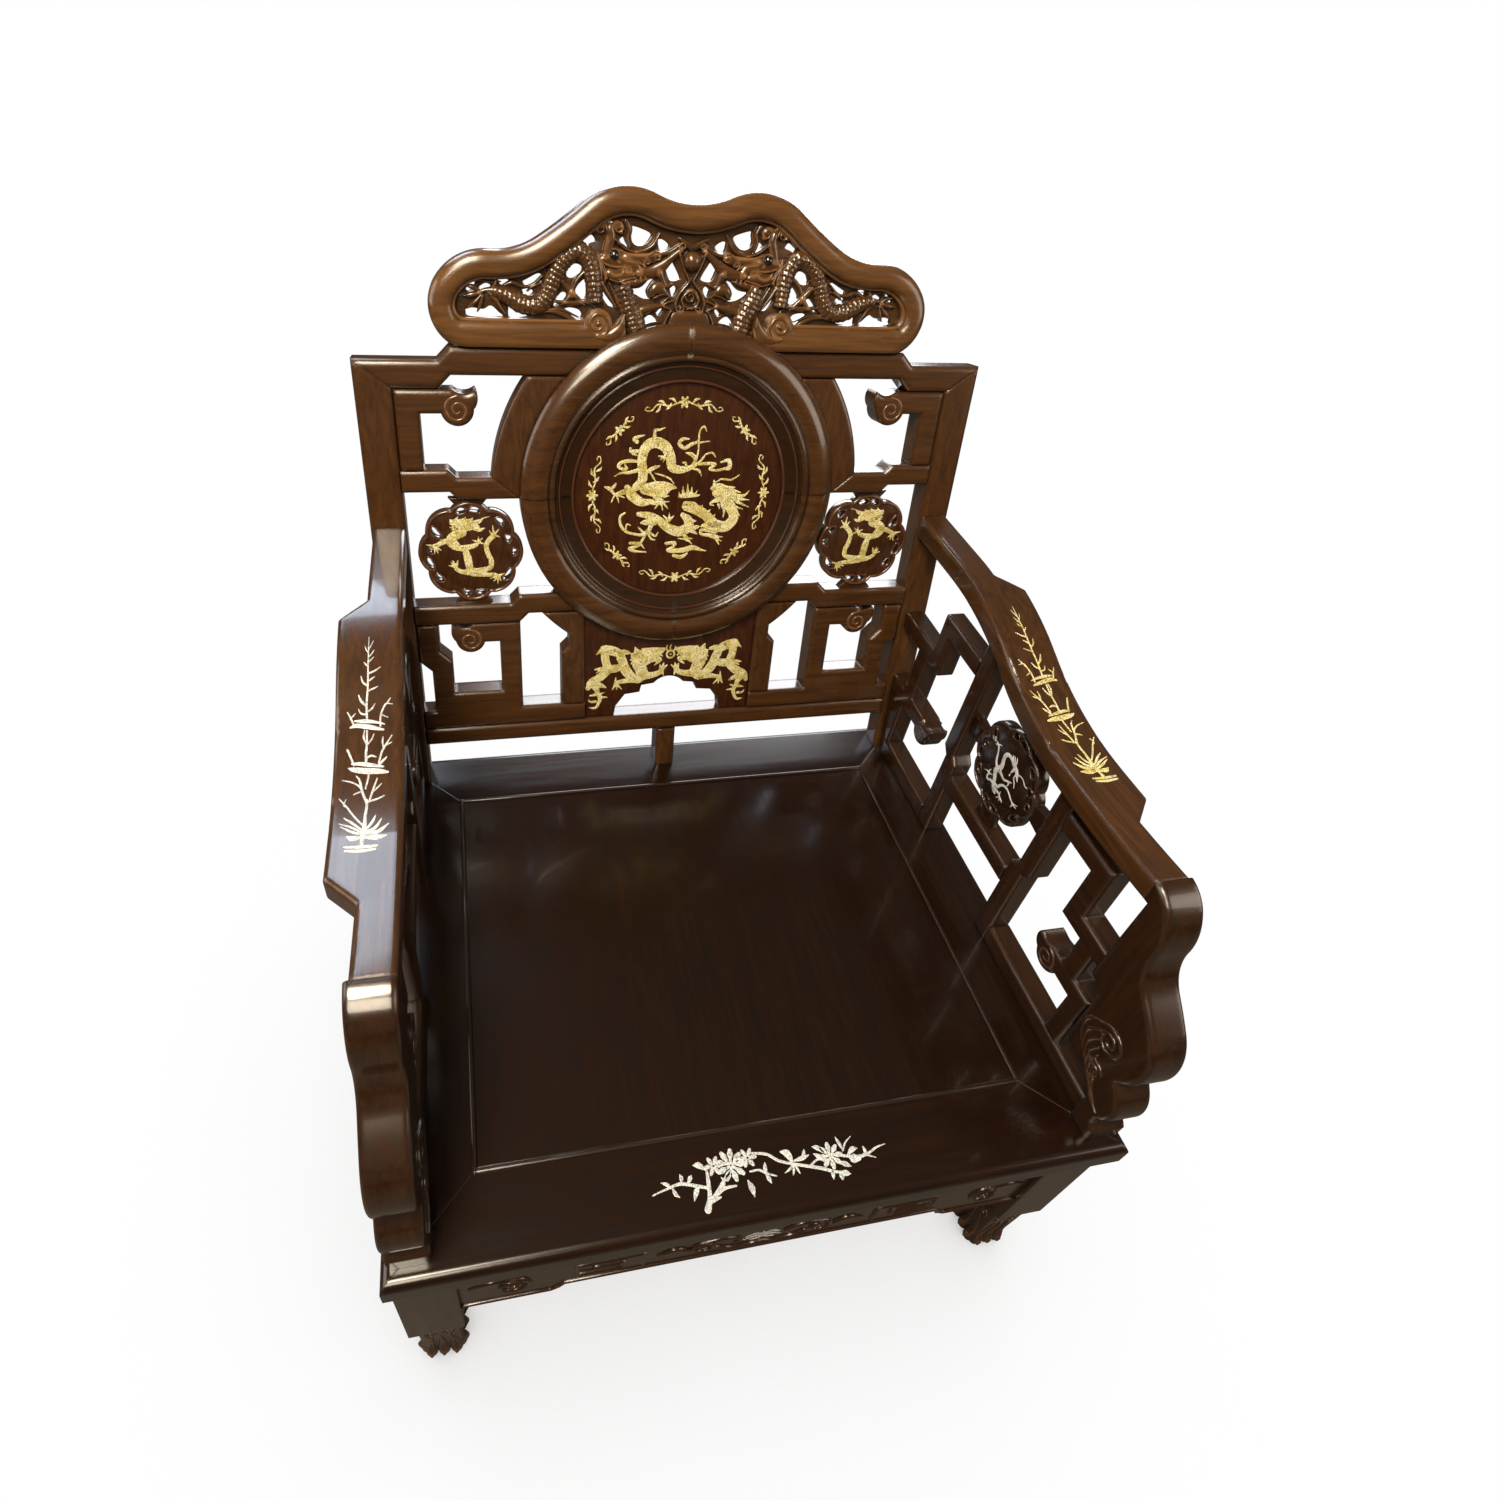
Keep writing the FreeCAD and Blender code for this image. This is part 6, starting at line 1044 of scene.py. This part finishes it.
ARM_DRAGON = [
    [(15.5, 18.8, 3), (9.5, 19.7, 5.2), (3.4, 22.6, 4.6), (-2.6, 24.3, 4.6), (-8.6, 23, 5), (-11.2, 17.4, 5.4),
     (-10.3, 10.7, 6), (-8.9, 4.1, 6.6), (-10.7, -3.3, 7), (-14.6, -9.2, 6.6), (-12.4, -14.6, 6.2),
     (-9.5, -20.7, 6), (-8.3, -26.3, 5.6), (-4.3, -31.3, 5), (-0.3, -33, 3.6)],
    [(8.6, 21, 6.2), (13.8, 18.9, 6.4), (17.5, 15.4, 5), (19.9, 11.8, 3), (22, 10.1, 1)],
    [(9.5, 17.7, 4), (8.6, 13.6, 3), (7.6, 9.8, 1.2)], [(7.6, 6.4, 2.2), (7.7, 5.4, 2)],
    [(7.2, 23.1, 3), (6, 26.7, 2.2), (2.1, 30.7, 1)], [(8.6, 23.5, 3), (8.6, 28.4, 2), (6.5, 32.3, 0.8)],
    [(3.4, 24.1, 2.6), (0.9, 27.4, 1.6), (-0.9, 29.7, 0.8)],
    [(18.2, 17.4, 1.8), (24.1, 19.9, 1.5), (30.1, 18.9, 1.4), (34.7, 16.2, 1.4), (40.2, 17.8, 1)],
    [(15.5, 13.4, 1.8), (15.1, 8.3, 1.5), (19.3, 4.5, 1.4), (22, -0.7, 1)],
    [(-13.4, -4.5, 5.6), (-18.1, -1.7, 4.2), (-21.3, 3.9, 3.2), (-23, 10.3, 2.8), (-25.8, 16.5, 2.6),
     (-28.5, 19.6, 2.6)], [(-28.2, 18.9, 2.4), (-32.3, 20.8, 1.8), (-38.2, 23.2, 0.8)],
    [(-28.5, 19.2, 2.2), (-31.3, 17.3, 1.4), (-36.8, 16.7, 0.8)],
    [(-28.2, 19.5, 2.2), (-25.8, 21.9, 1.6), (-22.7, 23.3, 0.8)],
    [(-29.2, 19.6, 2), (-33.4, 19.5, 1.4), (-37.5, 19.8, 0.8)],
    [(-7.7, -4, 5), (-1.7, -5.9, 3.6), (3.1, -6.8, 3), (8.6, -3.4, 2.6), (13.8, -0.9, 2.2)],
    [(9.5, -3.5, 2), (12, -0.9, 1.4), (16.3, 1.5, 0.8)],
    [(10.7, -2.7, 2), (12.4, -5.2, 1.6), (11.7, -8.8, 0.9)],
    [(-6, -24.3, 5), (-0.3, -22.8, 4), (2.1, -17.8, 3.2), (7.2, -12.9, 3), (14.1, -11.3, 2.8), (20.3, -13, 2.6),
     (25.8, -15.8, 2.4), (31.3, -17.1, 2.4)], [(30.3, -17, 2.2), (34.4, -15.8, 1.6), (38.7, -13, 0.8)],
    [(30.6, -17.3, 2.2), (34.4, -17.7, 1.6), (38.5, -17, 0.8)],
    [(30.3, -17.4, 2.2), (31.3, -19.9, 1.6), (30.9, -22.7, 0.8)],
    [(-3.4, -30, 5), (2.1, -28, 3.6), (7.2, -27.9, 2.8), (9.6, -29.8, 2.4)],
    [(8.6, -29.1, 2), (7.2, -25.8, 1.5), (7.6, -22.8, 0.8)],
    [(9.5, -29.7, 2), (6.5, -33.4, 1.4), (5.2, -35.3, 0.8)],
    [(9.6, -29.8, 2), (11, -32.7, 1.4), (11.3, -34.3, 0.8)],
    [(10, -29.5, 2), (13.8, -30.7, 1.4), (16.5, -32.2, 0.8)],
    [(-10, -25.8, 4.6), (-15.1, -26.6, 3.2), (-19.9, -29.9, 2.6), (-22.7, -27.1, 2.2), (-22, -22.5, 2.2)],
    [(-22, -22.8, 2.2), (-25.8, -21.4, 1.5), (-29.9, -24, 0.8)],
    [(-22, -22.4, 2.2), (-22.7, -18.4, 1.5), (-21.3, -14.5, 0.8)],
    [(-21.7, -22.7, 2), (-18.9, -20.2, 1.4), (-16.5, -19, 0.8)],
]
ARM_BRANCH = [
    [(248.2, 9.5, 2.2), (247.4, -1.4, 3.4), (249, -14.9, 2.2)],
    [(251.7, 10.8, 2.2), (251.7, -1.4, 3.4), (253, -15.7, 1.9)],
    [(253.3, -1.9, 3.4), (266.3, -0.8, 4.4), (277.1, -0.5, 3.2), (286.5, -0.5, 2.2)],
    [(262.2, -1.4, 2.2), (260.9, 9.5, 5.8), (262.2, 18.1, 1.5)],
    [(266.3, -0.8, 2.2), (266.8, 10.8, 4.4), (274.9, 19.5, 1.2)],
    [(267.6, 0, 2.2), (270.9, 8.1, 3.2), (280.9, 13.5, 1)],
    [(269, 0, 1.7), (277.1, 5.4, 2.7), (285.2, 8.4, 0.7)],
    [(262.2, -1.4, 2.2), (261.4, -9.5, 5.8), (264.1, -14.1, 1.5)],
    [(264.9, -2.7, 2.2), (269, -10.8, 2.7), (275.5, -20.5, 1)],
    [(267.6, -2.7, 2.2), (274.4, -12.2, 2.2), (279, -22.2, 0.7)],
    [(270.3, -2.7, 1.7), (278.4, -10.8, 2.4), (284.6, -18.1, 1)],
    [(274.4, -1.4, 1.7), (285.2, -9.5, 1.7), (296, -16.2, 1.5), (305.7, -23.2, 1)],
    [(296, -16.2, 1.2), (299.2, -19.2, 1.5), (304.6, -17.6, 0.7)],
    [(285.2, -0.5, 2.4), (293.3, 0.3, 2.4), (301.9, 0.3, 2.4)],
    [(300.1, 0, 2.2), (302.8, 8.9, 1.9), (305.7, 14.9, 1)],
    [(302.2, 2.7, 1.7), (313.6, 5.4, 1.9), (324.9, 8.4, 1)],
    [(310.9, 5.1, 1.2), (314.9, 8.9, 1.5), (319.2, 12.4, 0.7)],
    [(300.1, 0, 2.2), (312.2, -4.1, 2.2), (324.4, -6.8, 1.9), (329, -9.7, 1)],
    [(312.2, -4.1, 1.5), (310.9, -8.1, 1.5), (309.2, -11.4, 0.7)],
    [(313.6, -4.1, 1.5), (319, -8.1, 1.5), (323, -14.1, 1.5), (325.5, -21.9, 0.7)],
    [(314.9, -1.4, 1.5), (327.1, 0.8, 1.7), (333.8, 0.8, 1.5)],
    [(331.1, 17.6, 2.2), (332.5, 9.5, 5.4), (333.8, -1.4, 6.3), (336, -12.2, 4.9), (337.9, -16.8, 1.5)],
    [(337.1, 13.5, 1.7), (339.5, 4.1, 3.6), (341.7, -6.8, 3.6), (342.2, -14.1, 1.5)],
    [(339.2, 9.5, 2.2), (344.6, 14.3, 2.2), (347.1, 16.5, 1)],
    [(341.9, 9.5, 1.7), (352.8, 12.2, 1.9), (359.5, 15.4, 1.7), (369.5, 21.1, 1)],
    [(356.8, 13.5, 1.2), (363.6, 12.7, 1.5), (368.2, 13.2, 0.7)],
    [(359.5, 15.4, 1.2), (360.9, 18.6, 1.5), (362.5, 21.1, 0.7)],
    [(340.6, -12.2, 1.7), (348.7, -15.1, 1.9), (357.1, -18.4, 1.9)],
    [(340.6, -1.4, 2.2), (351.4, -1.9, 2.2), (360.9, -1.4, 1.9), (375.7, -1.4, 1.7)],
    [(347.4, -1.4, 1.7), (349.5, 2.7, 2.2), (347.9, 7, 1.2)],
    [(360.9, -1.4, 1.5), (366.3, 2.7, 1.5), (371.9, 4.9, 0.7)],
    [(361.4, -1.4, 1.5), (369, -4.3, 1.7), (376.3, -3.5, 1)],
    [(375.7, 13.5, 1.7), (377.6, 6.8, 3.6), (379.8, -1.4, 4.6), (381.4, -10.8, 4.1), (379.8, -16.5, 1.5)],
    [(381.4, 14.3, 1.2), (384.1, 5.4, 2.7), (385.5, -4.1, 3.6), (386, -12.4, 1.5)],
    [(379.8, 10.8, 1.7), (389.2, 10.8, 1.7), (397.4, 13.5, 1.5), (406.8, 20, 1)],
    [(387.9, 17.6, 0.7), (390.1, 13.5, 1.2), (392.2, 11.1, 0.7)],
    [(398.7, 13.5, 1.2), (401.9, 16.2, 1.2), (400.9, 21.9, 0.7)],
    [(382.5, -13.5, 1.7), (389.2, -16.2, 1.7), (395.2, -19.2, 1)],
    [(389.2, -16.2, 1.5), (391.9, -13.5, 1.2), (393.6, -11.9, 0.7)],
    [(386.5, -1.4, 1.9), (401.4, -1.9, 1.9), (417.6, -0.8, 1.7), (436.5, -0.5, 1.5), (452.8, -0.3, 1.2),
     (473.8, 0, 0.7)], [(394.6, -1.4, 1.5), (397.4, 2.7, 1.7), (402.2, 5.7, 0.7)],
    [(391.9, -1.4, 1.5), (393.3, -6.8, 1.7), (397.6, -9.2, 0.7)],
    [(400.1, -1.9, 1.7), (405.5, -6.8, 2.4), (411.4, -9.2, 1)],
    [(414.9, -1.4, 1.5), (417.1, 4.1, 1.5), (419.2, 8.6, 0.7)],
    [(420.3, -1.4, 1.5), (424.4, -5.4, 1.9), (430.3, -7, 0.7)],
    [(424.4, -0.8, 1.5), (427.1, 2.7, 1.5), (429.2, 5.7, 0.7)],
    [(432.5, -0.8, 1.5), (435.2, 5.4, 1.7), (439, 11.1, 0.7)],
    [(440.6, -0.5, 1.2), (442.5, -2.7, 1.5), (444.9, -4.3, 0.7)],
    [(444.6, -0.5, 1.2), (447.9, 2.7, 1.2), (450.3, 4.9, 0.5)],
    [(450.1, -0.5, 1.2), (454.1, 2.7, 1.2), (458.4, 5.1, 0.5)],
    [(458.2, -0.3, 1), (463.6, 1.9, 1.2), (469.2, 4.3, 0.5)],
    [(455.5, -0.5, 1), (459.5, -2.7, 1), (463.8, -3.8, 0.5)],
]
for name, way in SIDES:
    low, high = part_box("arm_medallion_" + name)
    middle = (way * PLATE_FACE, (low.y + high.y) / 2, high.z - MEDALLION_RADIUS / 1000)
    on_plate = facing(middle, (0, -way, 0), (0, 0, 1), (-way, 0, 0))
    necks = ((83, 0, 11, 15), (-83, 0, 11, 15), (0, 1000 * (low.z - middle[2]), 12, 16))
    medallion("carved_arm_medallion_" + name, on_plate, way, necks, arm_plate, ARM_DRAGON, silver_pearl)


def on_arm(way, inward, level):
    """An upright face of one arm, this far from the middle of the chair."""
    return facing((way * level, seat_front, panel_high.z), (0, 1, 0), (0, 0, 1), (inward * way, 0, 0))


hooks = [curl(173.5, 89.5, 1.6), curl(512, 102.5, -1.6)]
mane = [spiral(62, 118, 17, 4, 1.7, 0.6, 6), spiral(58, 74, 12, 3, -1.6, 2.6, 5)]
mane += [[(78 - 4 * strand, 128 - 9 * strand, 2.5), (92 - 7 * strand, 112 - 9 * strand, 5.5),
          (90 - 8 * strand, 92 - 7 * strand, 5), (76 - 7 * strand, 76 - 5 * strand, 1.2)] for strand in range(8)]
for (name, way), shell in zip(SIDES, (silver_pearl, golden_pearl)):
    corner = (way * REST_LINE, seat_front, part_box("armrest_" + name)[1].z)
    on_rest = draped("armrest_" + name, facing(corner, (0, 1, 0), (-way, 0, 0), (0, 0, 1)))
    inlay("inlay_arm_branch_" + name, ARM_BRANCH, on_rest, shell)
    fret_curls = [strokes(hooks, on_arm(way, inward, level - inward * FRET_SUNK), CURL_SUNK, CURL_RISE, DOMED)
                  for inward, level in FRET_FACES]
    piece("arm_fret_curls_" + name, fret_curls, carved_arm)
    strands = [strokes(mane, on_arm(way, inward, level), -1.5, 2.2, DOMED) for inward, level in CHEEK_FACES]
    piece("front_post_carving_" + name, strands, carved_arm)

# Floor and light: a plain matt floor that the camera sees as white, with a soft shadow painted under the chair.
# Dim warm air, a cool window behind the left arm, and five soft lamps round the chair.
FLOOR_HALF, SHADE_REACH = 40, 0.45


def white_to_camera(tree, usual, white, end):
    """Rays from the camera meet white, and all others the usual shader."""
    seen = node(tree, "ShaderNodeLightPath").outputs["Is Camera Ray"]
    both = node(tree, "ShaderNodeMixShader", {0: seen, 1: usual.outputs[0], 2: white.outputs[0]})
    feed(tree, tree.nodes[end], {"Surface": both.outputs[0]})


ground = bpy.data.meshes.new("floor")
ground.from_pydata([(x * FLOOR_HALF, y * FLOOR_HALF, 0) for x, y in ((-1, -1), (1, -1), (1, 1), (-1, 1))], [],
                   [(0, 1, 2, 3)])
floor = bpy.data.objects.new("floor", ground)
bpy.context.scene.collection.objects.link(floor)
paint, tree, matt = new_material("pale_floor")
feed(tree, matt, {"Base Color": (0.08, 0.072, 0.062, 1), "Roughness": 0.8})
# Painted shadow: the white seen by the camera is painted grey where the chair closes the floor in.
open_floor = node(tree, "ShaderNodeAmbientOcclusion", {"Distance": SHADE_REACH}, samples=12).outputs["AO"]
painted_floor_shadow = ramp(tree, open_floor, [(0.1, (0.42, 0.40, 0.38)), (0.55, (0.80, 0.79, 0.78)), (0.92, (1.0, 1.0, 1.0))])
white = node(tree, "ShaderNodeEmission", {"Color": painted_floor_shadow, "Strength": 1.0})
white_to_camera(tree, matt, white, "Material Output")
ground.materials.append(paint)
world = bpy.data.worlds.new("studio")
world.use_nodes = True
bpy.context.scene.world = world
tree = world.node_tree
air = feed(tree, tree.nodes["Background"], {"Color": (1.0, 0.84, 0.66, 1), "Strength": 0.12})
white = node(tree, "ShaderNodeBackground", {"Color": (1, 1, 1, 1), "Strength": 1.0})
white_to_camera(tree, air, white, "World Output")
for name, spot, aim, size, power, tint in (
    ("window", (-0.95, 1.7, 2.3), (-0.3, -0.1, 0.6), 0.9, 23, (0.72, 0.84, 1.0)),
    ("ceiling", (-0.75, -0.75, 2.6), (0, 0.1, 0.6), 0.7, 58, (1.0, 0.87, 0.66)),
    ("key", (-0.9, -1.9, 2.6), (0, 0, 0.7), 1.0, 48, (1.0, 0.86, 0.66)),
    ("fill", (2.4, -1.2, 1.7), (0, 0, 0.5), 1.6, 26, (1.0, 0.88, 0.74)),
    ("side", (-2.6, 0.3, 1.5), (0, 0, 0.5), 1.6, 26, (1.0, 0.92, 0.82)),
    ("rear", (0.7, 2.8, 1.6), (0, 0, 0.5), 1.8, 70, (0.92, 0.95, 1.0)),
):
    glow = bpy.data.lights.new(name, "AREA")
    glow.size, glow.energy, glow.color = size, power, tint
    lamp = bpy.data.objects.new(name, glow)
    lamp.location = spot
    lamp.rotation_euler = (Vector(aim) - Vector(spot)).to_track_quat("-Z", "Y").to_euler()
    bpy.context.scene.collection.objects.link(lamp)

# Camera: the photo's view, worked out from the lines of the seat, the back and the legs.
# It stands high in front, left of the middle, and looks steeply down over the seat.
CAMERA_SPOT = (-0.2520, -0.6141, 1.2074)
TURN, TILT, ROLL = math.radians(-14.9), math.radians(-41.5), math.radians(-6.3)
lens = bpy.data.cameras.new("camera")
lens.sensor_width, lens.lens = 36, 20.36
lens.shift_x, lens.shift_y = 0.0683, -0.0351
lens.clip_start, lens.clip_end = 0.02, 100
camera = bpy.data.objects.new("camera", lens)
turned = Matrix.Rotation(TURN, 4, "Z") @ Matrix.Rotation(TILT, 4, "X") @ Matrix.Rotation(ROLL, 4, "Y")
camera.matrix_world = Matrix.Translation(CAMERA_SPOT) @ turned @ Matrix.Rotation(math.pi / 2, 4, "X")
bpy.context.scene.collection.objects.link(camera)
bpy.context.scene.camera = camera
bpy.context.scene.view_settings.view_transform = "Standard"
